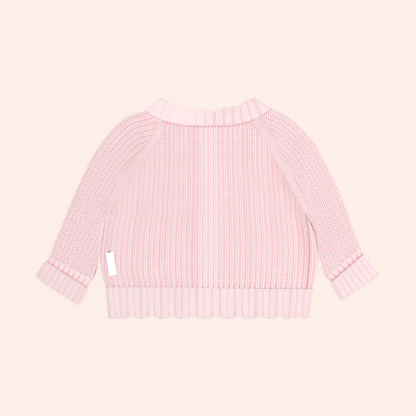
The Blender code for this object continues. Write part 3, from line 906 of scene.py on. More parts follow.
@dataclass(frozen=True)
class CottonYarn:
    """Matt plied cotton, knitted. The grooves between the stitches are painted a deeper pink as shade."""

    name: str
    crest: tuple  # colour of the highest strands
    groove: tuple  # colour of the painted shade in the deepest grooves
    # Colours that the tint blends towards: painted shade and darker tone, painted light and lighter tone.
    dark: tuple = (0.80, 0.33, 0.39, 1.0)
    light: tuple = (0.97, 0.80, 0.81, 1.0)
    tint_share: float = 0.22
    light_end: float = 0.05  # painted groove shade up to this much keeps the crests' colour
    dark_end: float = 0.75  # and from this much on it is the grooves' painted shade colour
    turns_across: float = 7.0  # twists of the yarn in one repeat
    turns_along: float = 0.8  # and across one strand
    next_strand: float = 0.37  # turns from one strand to the next
    twist_depth: float = 0.00016
    twist_bump: float = 0.8
    lump: float = 0.045  # size of the slow changes of colour
    fibre: float = 0.0006  # size of the fibres' unevenness
    fibre_share: float = 0.08  # of the fibres in the colour
    twist_share: float = 0.03  # and of the painted shade in the lines between the yarn's plies
    twist_height: float = 0.75  # of the twist in the bumps, and the rest is fibres
    lump_share: float = 0.5  # of the slow changes in the tint
    roughness: float = 0.88
    fibre_roughness: float = 0.10
    sheen: tuple = (0.25, 0.55)  # weight and roughness
    gloss: float = 0.25

    def make(self) -> bpy.types.Material:
        """Makes the material.

        Returns:
            The material.
        """
        sheet = NodeSheet(self.name)
        groove_shade, tint = sheet.mark(GROOVE_SHADE), sheet.mark(TINT)
        u, v = sheet.along_yarn()
        strand = v.maths("FLOOR", v)
        twist = (u * self.turns_across + v * self.turns_along + strand * self.next_strand).wave()
        fibre, lump = sheet.noise(self.fibre, 3.0), sheet.noise(self.lump)
        depth = groove_shade + (fibre - 0.5) * self.fibre_share + (1.0 - twist) * self.twist_share
        depth = sheet.node("ShaderNodeMapRange", {"interpolation_type": "SMOOTHSTEP"},
                           {"Value": depth, "From Min": self.light_end, "From Max": self.dark_end})
        shade = tint + (lump - 0.5) * self.lump_share
        # Painted shade in the grooves and between the plies, then painted light and shade from the tint.
        colour = sheet.blend(depth, self.crest, self.groove)
        colour = sheet.blend((shade * -self.tint_share).clipped(), colour, self.dark)
        colour = sheet.blend((shade * self.tint_share).clipped(), colour, self.light)
        bumps = twist * self.twist_height + fibre * (1.0 - self.twist_height)
        normal = sheet.bump(bumps, self.twist_depth, self.twist_bump)
        return sheet.dressed({"Base Color": colour, "Normal": normal,
                              "Roughness": (fibre - 0.5) * self.fibre_roughness + self.roughness,
                              "Sheen Weight": self.sheen[0], "Sheen Roughness": self.sheen[1],
                              "Specular IOR Level": self.gloss})


@dataclass(frozen=True)
class WovenTape:
    """White satin tape, finely ribbed across its width."""

    name: str = "white_tape"
    colour: tuple = (0.97, 0.97, 0.97, 1.0)
    shadow: tuple = (0.84, 0.83, 0.85, 1.0)
    threads_across: float = 26.0
    threads_along: float = 150.0
    thread_depth: float = 0.00008
    thread_bump: float = 0.6
    weft_share: float = 0.22  # of the painted shade in the lines between the threads in the colour
    cloud_share: float = 0.12  # and of the changes of gloss
    sheen: float = 0.15
    cloud: float = 0.004  # size of the slow changes of gloss
    roughness: float = 0.42

    def make(self) -> bpy.types.Material:
        """Makes the material.

        Returns:
            The material.
        """
        sheet = NodeSheet(self.name)
        u, v = sheet.along_yarn()
        weft = (v * self.threads_along + (u * self.threads_across).wave() * 0.5).wave()
        cloudy = sheet.noise(self.cloud)
        cloudy = cloudy * self.cloud_share
        colour = sheet.blend((1.0 - weft) * self.weft_share + cloudy, self.colour, self.shadow)
        return sheet.dressed({"Base Color": colour, "Roughness": self.roughness + cloudy,
                              "Normal": sheet.bump(weft, self.thread_depth, self.thread_bump),
                              "Sheen Weight": self.sheen})


@dataclass(frozen=True)
class SewingThread:
    """Dull grey thread that holds the tape."""

    name: str = "label_thread"
    colour: tuple = (0.17, 0.10, 0.11, 1.0)
    lighter: tuple = (0.34, 0.22, 0.242, 1.0)
    fibre: float = 0.0003
    fibre_depth: float = 0.00005
    fibre_bump: float = 0.5
    fibre_roughness: float = 0.1
    roughness: float = 0.7

    def make(self) -> bpy.types.Material:
        """Makes the material.

        Returns:
            The material.
        """
        sheet = NodeSheet(self.name)
        fibre = sheet.noise(self.fibre, 3.0)
        return sheet.dressed({"Base Color": sheet.blend(fibre, self.colour, self.lighter),
                              "Roughness": self.roughness + fibre * self.fibre_roughness,
                              "Normal": sheet.bump(fibre, self.fibre_depth, self.fibre_bump)})


# ---- pieces

BODY_STITCH = Stitch(row=2.9, wales=1, groove_share=0.34, groove_depth=0.25, wale_depth=0.05,
                     middle_depth=0.30, strand_depth=1.20, shade_depth=1.5, climb=0.5, crest=0.3,
                     samples=8, row_samples=4)
SLEEVE_STITCH = replace(BODY_STITCH, middle_depth=0.40)
RIB_STITCH = Stitch(row=2.2, wales=2, groove_share=0.40, groove_depth=0.52, wale_depth=0.12,
                    middle_depth=0.20, strand_depth=0.50, shade_depth=1.7, climb=0.7, crest=0.2,
                    samples=14, row_samples=3)
PANEL_RIM = -0.2  # highest relief on the outlines of the panels and sleeves
BAND_RIM = -0.25  # and on those of the hem bands and the neckband
SCALLOP_RIBS = 3.0  # ribs between two notches of a scalloped edge
ROLL = (1.1, 0.9)  # how far a band's free edge is rounded down, within which rows
SNUG_WIDTH = 2.0  # width of the cloth that is pressed flat beside its neighbour
VALLEY_PAINTED_LIGHT = 1.0  # painted light at the bottom of the valleys between body and sleeves, against their shade
CHAIN_WIDTH = 6.4  # of the single wale that runs along each raglan seam
CHAIN_SHARE = 0.85  # share of the stitches' relief that it has
CHAIN_SUNK = 0.12  # how far it lies below the other wales
CHAIN_FADING = 1.6  # over which it gives way to them
RAGLAN_START = (2.0, 10.0)  # where it begins above the armpit, and over which length
SEAM_BEYOND = 2.0  # and how far past the seam it ends
SEAM_WIDTH = 1.3  # within which all stitches flatten out towards the seam
SEAM_LEVEL = -0.2  # their height on it
SEAM_STEEPNESS = 1.5  # and how early they come down to it


def rolled(rows: Array) -> Array:
    """How far a band is rounded down, this many rows from its free edge."""
    return ROLL[0] * (1.0 - np.clip(rows / ROLL[1], 0.0, 1.0)) ** 2


@dataclass(frozen=True)
class Cut:
    """Flat cut of a piece before it was sewn, in metres and square metres."""

    width: float
    length: float
    area: float


@dataclass
class Piece:
    """What every piece of the sweater has."""

    name: str
    node: str
    slot: Slot
    cut: Cut
    rests_on: tuple
    form: SweaterForm
    heights: FieldMap
    painted_shading: FieldMap
    held: str = "laid"

    def hand_over(self, piece: bpy.types.Object, material: bpy.types.Material,
                  with_pieces: Sequence[bpy.types.Object] = ()) -> None:
        """Args:
            piece: the object.
            material: its finish.
            with_pieces: separate pieces that are on it; not used.
        """
        piece.data.materials.clear()
        piece.data.materials.append(material)
        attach(piece, BODY)
        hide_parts(self.node)

    def knit(self, stitch: Stitch, material: bpy.types.Material, **options: Any) -> None:
        """Knits the piece on its own surface and columns, and hands it over.

        Args:
            stitch: its kind of knit.
            material: its finish.
            options: what else the cloth needs.
        """
        cloth = Cloth(self.name, self.surface, self.columns, stitch, self.form.wall, **options)
        self.hand_over(cloth.build(), material)

    def laid(self, layer: Layer, x: Array, y: Array, rise: Array) -> Array:
        """Points of the outer form of a piece that is only in one of the two layers.

        Args:
            layer: that layer.
            x: X of the places.
            y: Y of the places.
            rise: 1 on the flat and 0 at the end of a bend.

        Returns:
            The points, with their height.
        """
        form, half_gap = self.form, 0.5 * self.form.seam_gap
        if layer is Layer.LOWER:
            return np.column_stack([x, y, (form.middle - half_gap) * (1.0 - rise)])
        height = (self.heights.read(x, y) - half_gap) * rise - form.neck_sink(x, y)
        return np.column_stack([x, y, form.middle + half_gap + height])


def chain_along_raglan(form: SweaterForm, side: int, x: Array, y: Array, height: Array,
                       into: float) -> Array:
    """Turns the wale beside a raglan seam to run along it.

    Args:
        form: the sweater's form.
        side: -1 for the left seam and 1 for the right one.
        x: where the cloth is.
        y: where the cloth is.
        height: relief of the plain stitches there.
        into: 1 for the body's side of the seam and -1 for the sleeve's.

    Returns:
        The relief with the chain of stitches.
    """
    distance, along = form.from_raglan(side, x, y)
    distance = distance * into
    chain = BODY_STITCH.relief(distance / CHAIN_WIDTH, along / BODY_STITCH.row)
    chain = mix(BODY_STITCH.crest, chain, CHAIN_SHARE) - CHAIN_SUNK
    inside = ease((CHAIN_WIDTH + 0.5 * CHAIN_FADING - distance) / CHAIN_FADING)
    inside = inside * (distance > -SEAM_BEYOND)
    above = ease((y - form.armpit_y - RAGLAN_START[0]) / RAGLAN_START[1])
    at_seam = ease((SEAM_WIDTH - distance) / SEAM_WIDTH * SEAM_STEEPNESS)
    return mix(mix(height, chain, inside * above), SEAM_LEVEL, at_seam * above)


@dataclass
class Panel(Piece):
    """The back or the front: its wales run up from the hem and end at the raglan seams."""

    layer: Layer = Layer.UPPER
    left_wales: int = 20
    right_wales: int = 19  # up to the groove where the right side folds over
    side_wales: int = 2  # in the strip beyond that groove
    groove_rows: tuple = ((-9.0, 131.6), (-36.0, 135.3), (-60.0, 136.5), (-90.0, 134.6),
                          (-112.0, 132.2))
    loop_pitch: float = 4.6  # of the loops that join the neckband
    valley_end: float = -80.0  # down to here a sleeve lies beside the body's side
    valley_fade: float = 8.0
    lean: float = 0.05  # how much the wales draw together towards the neck
    lean_length: float = 80.0
    above_armpit: float = 135.0  # no column ends higher than this above the armpit
    strip_end: float = 0.45  # rows by which the strip's columns end below it
    least_strip: float = 0.05
    strip_bend: float = 0.8  # share of a narrow strip that its bend may take
    stretch: tuple = (0.12, 4.0, 17.0)  # relief lost over the middle, its X and width
    loop_pits: tuple = (1.3, 1.4, 0.9)  # depth, distance from the seam, and width
    hem_pits: tuple = (0.8, 1.6, 1.3)  # the same of the pits above the hem seam
    side_groove: tuple = (0.55, 0.22, 45.0, 20.0)  # depth, width in wales, top and fading
    wale_tints: tuple = ((0.25, 2.4, 0.0), (0.2, 5.1, 1.0))  # strength, turn by wale, start

    def groove(self, y: Array) -> Array:
        """X of the deep groove down the right side."""
        return read_table([g[0] for g in self.groove_rows], [g[1] for g in self.groove_rows], y)

    def place(self, w: Array, r: Array) -> tuple[Array, Array, Array]:
        """Lays the cloth out.

        Args:
            w: wales.
            r: rows.

        Returns:
            X, Y and rise of each place.
        """
        form = self.form
        y = form.hem_seam_y[0] + r * BODY_STITCH.row
        below = np.minimum(y, form.armpit_y)
        turned = form.turned(y)
        lean = 1.0 + self.lean * ease((y - form.armpit_y) / self.lean_length)
        arc = 0.5 * math.pi * form.fold_reach
        half_gap = 0.5 * form.seam_gap

        width = -form.body_edge(-1, below) - half_gap
        total = width + turned * (arc - form.fold_reach)
        s = (self.left_wales + w) / self.left_wales * total
        bent, rise = quarter_bend(s, form.fold_reach, arc)
        left_x = -(width - mix(s, bent, turned)) / lean
        left_rise = mix(1.0, rise, turned)

        groove = self.groove(below)
        strip = np.maximum(form.body_edge(1, below) - half_gap - groove, self.least_strip)
        reach = np.minimum(form.fold_reach, self.strip_bend * strip)
        total = strip + turned * (0.5 * math.pi - 1.0) * reach
        s = (self.right_wales + self.side_wales - w) / self.side_wales * total
        bent, rise = quarter_bend(s, reach, 0.5 * math.pi * reach)
        strip_x = groove + strip - mix(s, bent, turned)
        main_x = groove * w / self.right_wales / lean
        in_strip = w > self.right_wales
        x = np.where(w < 0, left_x, np.where(in_strip, strip_x, main_x))
        rise = np.where(w < 0, left_rise, np.where(in_strip, mix(1.0, rise, turned), 1.0))
        return x, y, rise

    def surface(self, w: Array, r: Array) -> Array:
        """Points of the outer form."""
        return self.laid(self.layer, *self.place(w, r))

    def outside(self, w: Array, r: Array) -> Array:
        """Tests for the outline above the armpit.

        Args:
            w: wales.
            r: rows.

        Returns:
            Positive where a place doesn't lie on the panel.
        """
        x, y, _ = self.place(w, r)
        half_gap = 0.5 * self.form.seam_gap
        left = x - self.form.panel_edge(self.layer, -1, y) - half_gap
        right = self.form.panel_edge(self.layer, 1, y) - half_gap - x
        top = self.form.neck_y(self.form.seam_line, self.layer, x) - half_gap - y
        return -np.minimum(np.minimum(left, right), top)

    def columns(self, across: float) -> list:
        """Columns from the left side to the right.

        Args:
            across: repeats between two columns.

        Returns:
            Wale, first row and last row of each.
        """
        form, half_gap = self.form, 0.5 * self.form.seam_gap
        last = self.right_wales + self.side_wales
        w = np.arange(-self.left_wales, last + 0.5 * across, across)
        w = np.unique(np.round(np.append(w, [self.right_wales, last]), 6))
        low = np.zeros(len(w))
        for _ in range(3):
            x, _, _ = self.place(w, low)
            low = (form.hem_seam(x) + half_gap - form.hem_seam_y[0]) / BODY_STITCH.row
        armpit = (form.armpit_y - form.hem_seam_y[0]) / BODY_STITCH.row
        rows = np.arange(armpit, armpit + self.above_armpit / BODY_STITCH.row, TEST_ROWS)
        grid_w, grid_r = np.meshgrid(w, rows)
        first = np.argmax(self.outside(grid_w, grid_r) >= 0, axis=0)
        high = crossing(self.outside, w, rows[np.maximum(first - 1, 0)], rows[first])
        high = np.where(first == 0, armpit, high)
        high = np.where(w > self.right_wales, armpit - self.strip_end, high)
        return list(zip(w.tolist(), low.tolist(), high.tolist()))

    def slack(self, w: Array, r: Array) -> Array:
        """Relief is flatter where the cloth is stretched over what lies under its middle."""
        lost, middle, width = self.stretch
        return 1.0 - lost * np.exp(-((self.place(w, r)[0] - middle) / width) ** 4)

    def snug(self, w: Array, r: Array) -> Array:
        """Finds the folded sides, as far down as a sleeve is pressed to them.

        Args:
            w: wales.
            r: rows.

        Returns:
            1 on them.
        """
        x, y, _ = self.place(w, r)
        edge = np.minimum(x - self.form.body_edge(-1, y), self.form.body_edge(1, y) - x)
        pressed = self.form.turned(y) * ease((y - self.valley_end) / self.valley_fade)
        return pressed * near(edge, 0.0, SNUG_WIDTH)

    def details(self, w: Array, r: Array, height: Array) -> Array:
        """Adds the wales along the raglan seams, the loops at the bands and the side groove.

        Args:
            w: wales.
            r: rows.
            height: relief of the plain stitches.

        Returns:
            The relief with them.
        """
        form = self.form
        x, y, _ = self.place(w, r)
        for side in (-1, 1):
            height = chain_along_raglan(form, side, x, y, height, 1.0)
        loops = (0.5 + 0.5 * np.cos(2.0 * math.pi * x / self.loop_pitch)) ** 2
        depth, away, width = self.loop_pits
        height = height - depth * loops * near(form.neck_y(form.seam_line, self.layer, x) - y, away, width)
        depth, away, width = self.hem_pits
        _, groove = BODY_STITCH.place_in_wale(w)
        height = height - depth * groove * near(y - form.hem_seam(x), away, width)
        depth, width, top, fading = self.side_groove
        return height - depth * near(w, self.right_wales, width) * ease((top - y) / fading)

    def build(self, material: bpy.types.Material) -> None:
        """Knits the panel.

        Args:
            material: its finish.
        """
        if self.layer is Layer.UPPER:
            self.knit(BODY_STITCH, material, depth=self.slack, shape=self.details,
                      tint=self.shade, rim=PANEL_RIM, snug=self.snug)
        else:
            self.knit(BODY_STITCH, material, sign=-1.0, ground=everywhere, rim=-0.9, coarse=2.0)

    def shade(self, w: Array, r: Array) -> Array:
        """Painted light and shade along the folds, painted light in the valleys beside the sleeves, and
        wales whose tone differs a little.

        Args:
            w: wales.
            r: rows.

        Returns:
            The tint.
        """
        x, y, _ = self.place(w, r)
        wale = np.floor(w)
        differing = sum(much * np.sin(turn * wale + start) for much, turn, start in self.wale_tints)
        return self.painted_shading.read(x, y) + differing + VALLEY_PAINTED_LIGHT * self.snug(w, r)


@dataclass
class Sleeve(Piece):
    """A sleeve: one layer of cloth from under the arm, round the outer fold and back."""

    side: int = 1
    first_pitch: float = 7.4  # width of a wale at the shoulder, as the photo shows it
    last_pitch: float = 5.6  # and at the cuff
    least_gain: float = 0.012  # wales gained in each millimetre, so that none is dropped
    extension: float = 40.0  # how far the shoulder fold is carried on past the neck
    past_cuff: float = 30.0  # and past the cuff, to search for the end of each column
    smoothing: tuple = (60, 28.0)  # window and width in which the fold's turns are evened out
    edge_slant: float = 0.85  # distance square to the inner edge, as a share of X
    corner_wales: tuple = (4.0, 20.0)  # the corner at the cuff is between these two
    fine: int = 400  # points along the fold
    tried: tuple = (5.0, 100.0, 0.05)  # distances tried for the inner edge, and their step
    lower_start: float = 0.6  # wales in which the cloth turns into the lower layer

    def __post_init__(self) -> None:
        """Works out the outer fold, the inner edges and the end line from the sections."""
        form = self.form
        rows = form.left_sleeve if self.side < 0 else form.right_sleeve
        t = np.linspace(0.0, len(rows) - 1.0, self.fine)
        places = np.arange(len(rows), dtype=float)
        column = {name: read_table(places, [getattr(row, name) for row in rows], t)
                  for name in SleeveRow._fields}
        outer = np.column_stack([column["outer_x"], column["outer_y"]])
        length = np.concatenate([[0.0], np.cumsum(np.linalg.norm(np.diff(outer, axis=0), axis=1))])
        self.length, self.last_row = float(length[-1]), len(rows) - 1
        self.s = np.arange(0.0, self.length, 1.0)
        self.line = np.column_stack([np.interp(self.s, length, outer[:, k]) for k in (0, 1)])
        step = np.gradient(self.line, axis=0)
        angle = np.unwrap(np.arctan2(step[:, 1], step[:, 0]))
        window, width = self.smoothing
        kernel = np.exp(-(np.arange(-window, window + 1) / width) ** 2)
        padded = np.pad(angle, window, mode="edge")
        self.angles = np.convolve(padded, kernel / kernel.sum(), mode="valid")
        self.row_at = np.interp(self.s, length, t)
        self.inner = {}
        for layer, name in ((Layer.UPPER, "back_y"), (Layer.LOWER, "front_y")):
            stand_off = 0.5 * form.seam_gap + np.maximum(column["clear"], 0.0)
            x = form.panel_edge(layer, self.side, column[name]) + self.side * stand_off
            self.inner[layer] = np.column_stack([x, column[name]])
        seam = (form.left_cuff if self.side < 0 else form.right_cuff)[0]
        ends = np.array([[seam.outer_x, seam.outer_y], [seam.inner_x, seam.inner_y]])
        across = (ends[1] - ends[0]) / np.linalg.norm(ends[1] - ends[0])
        self.end_normal = np.array([across[1], -across[0]]) * -self.side
        self.end_point = ends[0] - self.end_normal * form.seam_gap
        self.corner_x = self.inner[Layer.UPPER][-1][0]
        self.spots = np.arange(0.0, self.length, 4.0)
        self.pitch = {layer: self.fitted_pitch(layer) for layer in Layer}

    def fitted_pitch(self, layer: Layer) -> Array:
        """Width of a wale at each spot along the fold, close to the photo's.

        Args:
            layer: the layer whose inner edge the wales run out to.

        Returns:
            The widths, with which the number of wales up to that edge only ever grows.
        """
        point, normal = self.fold_point(self.spots)
        away = np.arange(*self.tried)
        x, y = (point[:, k, None] + normal[:, k, None] * away for k in (0, 1))
        distance = away[np.argmax(self.side * (x - self.inner_x(layer, y)) <= 0.0, axis=1)]
        laid_out = distance + (0.5 * math.pi - 1.0) * self.form.fold_reach
        wanted = laid_out / mix(self.first_pitch, self.last_pitch, self.spots / self.length)
        gained = self.least_gain * self.spots
        return laid_out / (gained + np.maximum.accumulate(wanted - gained))

    def fold_point(self, s: Array) -> tuple[Array, Array]:
        """Follows the outer fold, carried straight on past both its ends.

        Args:
            s: distances along it.

        Returns:
            Points on it, and its inward normals.
        """
        inside = np.clip(s, 0.0, self.s[-1])
        angle = np.interp(inside, self.s, self.angles)
        x = np.interp(inside, self.s, self.line[:, 0]) + np.cos(angle) * (s - inside)
        y = np.interp(inside, self.s, self.line[:, 1]) + np.sin(angle) * (s - inside)
        turn = angle + self.side * -0.5 * math.pi
        return np.column_stack([x, y]), np.column_stack([np.cos(turn), np.sin(turn)])

    def flat_place(self, w: Array, s: Array) -> tuple[Array, Array, Array]:
        """Lays the cloth out.

        Args:
            w: wales.
            s: distances along the outer fold.

        Returns:
            Places seen from above, distances from the fold, and rise of the fold's bend.
        """
        pitch = np.where(w > 0, np.interp(s, self.spots, self.pitch[Layer.UPPER]),
                         np.interp(s, self.spots, self.pitch[Layer.LOWER]))
        arc = 0.5 * math.pi * self.form.fold_reach
        away, rise = quarter_bend(np.abs(w) * pitch, self.form.fold_reach, arc)
        point, normal = self.fold_point(s)
        return point + normal * away[:, None], away, rise

    def seen(self, w: Array, r: Array) -> Array:
        """X and Y of the cloth at (wale, row)."""
        return self.flat_place(w, r * BODY_STITCH.row)[0].T

    def inner_x(self, layer: Layer, y: Array) -> Array:
        """X of the edge where a layer meets the body or the other layer's edge."""
        edge = self.inner[layer][::-1]
        beyond = self.form.panel_edge(layer, self.side, y) + self.side * 0.5 * self.form.seam_gap
        return np.where(y > edge[-1, 1], beyond, np.interp(y, edge[:, 1], edge[:, 0]))

    def surface(self, w: Array, r: Array) -> Array:
        """Outer form. Wales above 0 are on the upper layer.

        Args:
            w: wales.
            r: rows.

        Returns:
            Its points.
        """
        form, s = self.form, r * BODY_STITCH.row
        place, away, rise = self.flat_place(w, s)
        x, y = place[:, 0], place[:, 1]
        row = np.interp(s, self.s, self.row_at)
        onto = ease((row - form.sleeve_rise_row) / (self.last_row - form.sleeve_rise_row))
        middle = mix(form.middle, form.cuff_half, onto)
        cuff_height = form.cuff_half - form.cuff_wall - form.seam_gap
        half_gap = 0.5 * form.seam_gap * np.minimum(away, 1.0)
        z = np.empty(len(x))
        for layer in Layer:
            upper = layer is Layer.UPPER
            mask = w > 0 if upper else w <= 0
            edge_distance = self.side * (x - self.inner_x(layer, y)) * self.edge_slant
            ratio = np.clip(np.abs(edge_distance) / form.fold_reach, 0.0, 1.0)
            bend = np.sign(edge_distance) * np.sqrt(np.maximum(1.0 - (1.0 - ratio) ** 2, 0.0))
            at_edge = mix(1.0, bend, form.turned(y))
            share = np.clip(away / np.maximum(away + edge_distance, 1.0), 0.0, 1.0)
            crown = form.sleeve_crown * np.sin(math.pi * share)
            height = self.heights.read(x, y) + crown if upper else np.full(len(x), form.middle)
            height = mix(height, cuff_height, onto)
            value = middle + layer.value * (half_gap + (height - half_gap) * rise * at_edge)
            z[mask] = value[mask]
        return np.column_stack([x, y, z])

    def inside(self, w: Array, r: Array) -> Array:
        """Tests for the outline, apart from the end at the cuff.

        Args:
            w: wales.
            r: rows.

        Returns:
            Positive where a place lies on the sleeve.
        """
        x, y = self.seen(w, r)
        best = np.empty(len(x))
        for layer in Layer:
            mask = w > 0 if layer is Layer.UPPER else w <= 0
            edge = self.side * (x - self.inner_x(layer, y))
            top = self.form.neck_y(self.form.seam_line, layer, x) - 0.5 * self.form.seam_gap - y
            best[mask] = np.minimum(edge, top)[mask]
        return best

    def past_end(self, w: Array, r: Array) -> Array:
        """Positive where a place is beyond the seam to the cuff."""
        place, _, _ = self.flat_place(w, r * BODY_STITCH.row)
        return (place - self.end_point) @ self.end_normal

    def corner_wale(self) -> float:
        """Finds the corner between the inner edge and the cuff seam.

        Returns:
            Its wale coordinate.
        """
        low, high = self.corner_wales
        for _ in range(24):
            w = np.array([0.5 * (low + high)])
            rows = crossing(self.past_end, w, np.array([self.length / 6.0]),
                            np.array([(self.length + 2.0 * self.past_cuff) / BODY_STITCH.row]))
            place, _, _ = self.flat_place(w, rows * BODY_STITCH.row)
            inside = self.side * (place[0, 0] - self.corner_x) > 0
            low, high = (float(w[0]), high) if inside else (low, float(w[0]))
        return low

    def columns(self, across: float) -> list:
        """Columns from under the arm, round the fold, to the upper layer's edge.

        Args:
            across: repeats between two columns.

        Returns:
            Wale, first row and last row of each.
        """
        top = -self.extension / BODY_STITCH.row
        bottom = (self.length + self.past_cuff) / BODY_STITCH.row
        corner = self.corner_wale()
        w = np.arange(math.ceil(-corner / across) * across, corner, across)
        w = w[np.abs(w) < corner - 0.3 * across]
        w = np.concatenate([[-corner], w, [corner]])
        end = crossing(self.past_end, w, np.full(len(w), bottom * 0.5), np.full(len(w), bottom))
        rows = np.arange(top, bottom, TEST_ROWS)
        grid_w, grid_r = np.meshgrid(w, rows)
        out = (self.inside(grid_w.ravel(), grid_r.ravel()) <= 0).reshape(grid_w.shape)
        out &= grid_r < end[None, :] - 0.05
        last_out = len(rows) - 1 - np.argmax(out[::-1], axis=0)
        first_in = np.minimum(last_out + 1, len(rows) - 1)
        start = np.minimum(crossing(self.inside, w, rows[last_out], rows[first_in]), end)
        start[[0, -1]] = end[[0, -1]]
        return list(zip(w.tolist(), start.tolist(), end.tolist()))

    def edge_chain(self, w: Array, r: Array, height: Array) -> Array:
        """Adds the wale along the raglan seam of the upper layer."""
        chained = chain_along_raglan(self.form, self.side, *self.seen(w, r), height, -1.0)
        return np.where(w > 0, chained, height)

    def snug(self, w: Array, r: Array) -> Array:
        """1 on the folded edge beside the body, below the armpit."""
        x, y = self.seen(w, r)
        distance = self.side * (x - self.inner_x(Layer.UPPER, y))
        return self.form.turned(y) * near(distance, 0.0, SNUG_WIDTH)

    def shade(self, w: Array, r: Array) -> Array:
        """Painted light and shade along the folds, and painted light in the valley beside the body."""
        return (self.painted_shading.read(*self.seen(w, r)) + VALLEY_PAINTED_LIGHT * self.snug(w, r)) * (w > 0)

    def ground(self, w: Array, r: Array) -> Array:
        """1 on the lower layer, which must not sink into what it lies on."""
        return ease(-w / self.lower_start)

    def build(self, material: bpy.types.Material) -> None:
        """Knits the sleeve."""
        self.knit(SLEEVE_STITCH, material, sign=float(self.side), ground=self.ground,
                  shape=self.edge_chain, tint=self.shade, rim=PANEL_RIM, snug=self.snug)


@dataclass
class HemBand(Piece):
    """Ribbed band under the back or the front, with a scalloped lower edge."""

    layer: Layer = Layer.UPPER
    first_rib: float = -15.3
    last_rib: float = 14.5
    middle_groove: float = 5.1  # X of the groove between ribs -1 and 0
    rib: float = 9.35
    spread: float = 3.2  # the middle ribs are stretched apart this far
    spread_ribs: float = 2.5
    rows: float = 20.0
    notch: float = 0.65  # place of a notch in the first of three ribs
    shorter: float = 1.2  # how far the front's edge lies back, out of sight
    first_notch: tuple = (1.4, 0.8)  # ribs from the left side to the first notch, and fading
    unevenness: float = 0.12  # how much its grooves differ in depth
    chevron_rows: tuple = (3.6, 5.0, 0.8)  # its top, drop of its arms in a rib, and width
    chevron_arm: float = 0.55  # ribs from the middle of a chevron to its ends
    pits_beside: tuple = (0.50, 0.12)  # ribs from there to the pits, and width
    pits_up: tuple = (2.4, 1.4)  # rows from the edge to the pits, and width
    picot_relief: tuple = (0.30, -0.45)  # height of the chevrons, and of the pits
    # painted highlight on the chevrons over the notches, and painted shade in the pits beside them
    picot_highlight_and_shade: tuple = (2.5, -0.8)
    middle_tint: tuple = (0.3, 0.5, 3.0)  # painted light on the stretched middle: tint, rib and width

    def place(self, w: Array, r: Array) -> tuple[Array, Array, Array]:
        """Lays the cloth out.

        Args:
            w: ribs.
            r: rows, 0 on the free edge.

        Returns:
            X, Y and rise of each place.
        """
        form = self.form
        straight = self.middle_groove + self.rib * w + self.spread * np.tanh(w / self.spread_ribs)
        share = r / self.rows
        level = mix(form.hem_edge_y, form.hem_seam_y[0], share)
        arc = 0.5 * math.pi * form.fold_reach
        slack = arc - form.fold_reach
        x, rise = straight, np.ones(len(w))
        for side, outermost in ((-1, self.first_rib), (1, self.last_rib)):
            top = float(form.body_edge(side, form.hem_seam_y[0]))
            end = form.body_edge(side, level) - side * 0.5 * form.seam_gap
            moved = straight + (end - top) * np.clip(straight / top, 0.0, 1.2) ** 3
            s = np.maximum(side * (end + side * slack - moved), 0.0)
            s = np.where(side * w > side * outermost, 0.0, s)
            bent, bend_rise = quarter_bend(s, form.fold_reach, arc)
            here = side * straight > 0
            x = np.where(here, end - side * bent, x)
            rise = np.where(here, bend_rise, rise)
        seam = form.hem_seam(x) - 0.5 * form.seam_gap
        hidden = 0.0 if self.layer is Layer.UPPER else self.shorter
        start, fading = self.first_notch
        notches = scallop(w, self.notch, SCALLOP_RIBS) * ease((w - self.first_rib - start) / fading)
        edge = form.hem_edge_y + hidden + form.hem_scallop_depth * notches
        return x, mix(edge, seam, share), rise

    def surface(self, w: Array, r: Array) -> Array:
        """Points of the outer form."""
        return self.laid(self.layer, *self.place(w, r))

    def columns(self, across: float) -> list:
        """Columns from the left side to the right."""
        w = np.arange(math.ceil(self.first_rib / across) * across, self.last_rib, across)
        w = w[(w > self.first_rib + 0.3 * across) & (w < self.last_rib - 0.3 * across)]
        return [(float(c), 0.0, self.rows) for c in [self.first_rib, *w, self.last_rib]]

    def roll(self, w: Array, r: Array) -> Array:
        """How far the free edge is rounded down."""
        return rolled(r)

    def uneven(self, w: Array, r: Array) -> Array:
        """The grooves between the ribs are not all as deep."""
        return 1.0 + self.unevenness * np.sin(2.4 * np.round(w))

    def chevron(self, w: Array, r: Array, raised_part: float, pits: float) -> Array:
        """Draws the chevron over each notch and the pits beside it.

        Args:
            w: ribs.
            r: rows.
            raised_part: strength of the chevrons.
            pits: strength of the pits.

        Returns:
            Their sum at each place.
        """
        beside = np.abs(np.mod(w + 0.5, SCALLOP_RIBS) - 0.5 - self.notch)
        top, drop, width = self.chevron_rows
        arms = near(r, top - drop * beside, width) * (beside < self.chevron_arm)
        return raised_part * arms + pits * near(beside, *self.pits_beside) * near(r, *self.pits_up)

    def picot(self, w: Array, r: Array, height: Array) -> Array:
        """Adds the small chevrons and pits to the relief."""
        return height + self.chevron(w, r, *self.picot_relief)

    def build(self, material: bpy.types.Material) -> None:
        """Knits the band.

        Args:
            material: its finish.
        """
        if self.layer is Layer.UPPER:
            only_here = {"tint": self.shade}
        else:
            only_here = {"sign": -1.0, "ground": everywhere, "coarse": 2.0}
        self.knit(RIB_STITCH, material, shape=self.picot, roll=self.roll, depth=self.uneven,
                  rim=BAND_RIM, back_step=0.25, **only_here)

    def shade(self, w: Array, r: Array) -> Array:
        """Lighter in the band's stretched middle as painted light, with a painted highlight on the chevron
        over each notch and painted shade in the pits beside it.
        """
        tint, rib, width = self.middle_tint
        return tint * np.exp(-((w - rib) / width) ** 4) + self.chevron(w, r, *self.picot_highlight_and_shade)


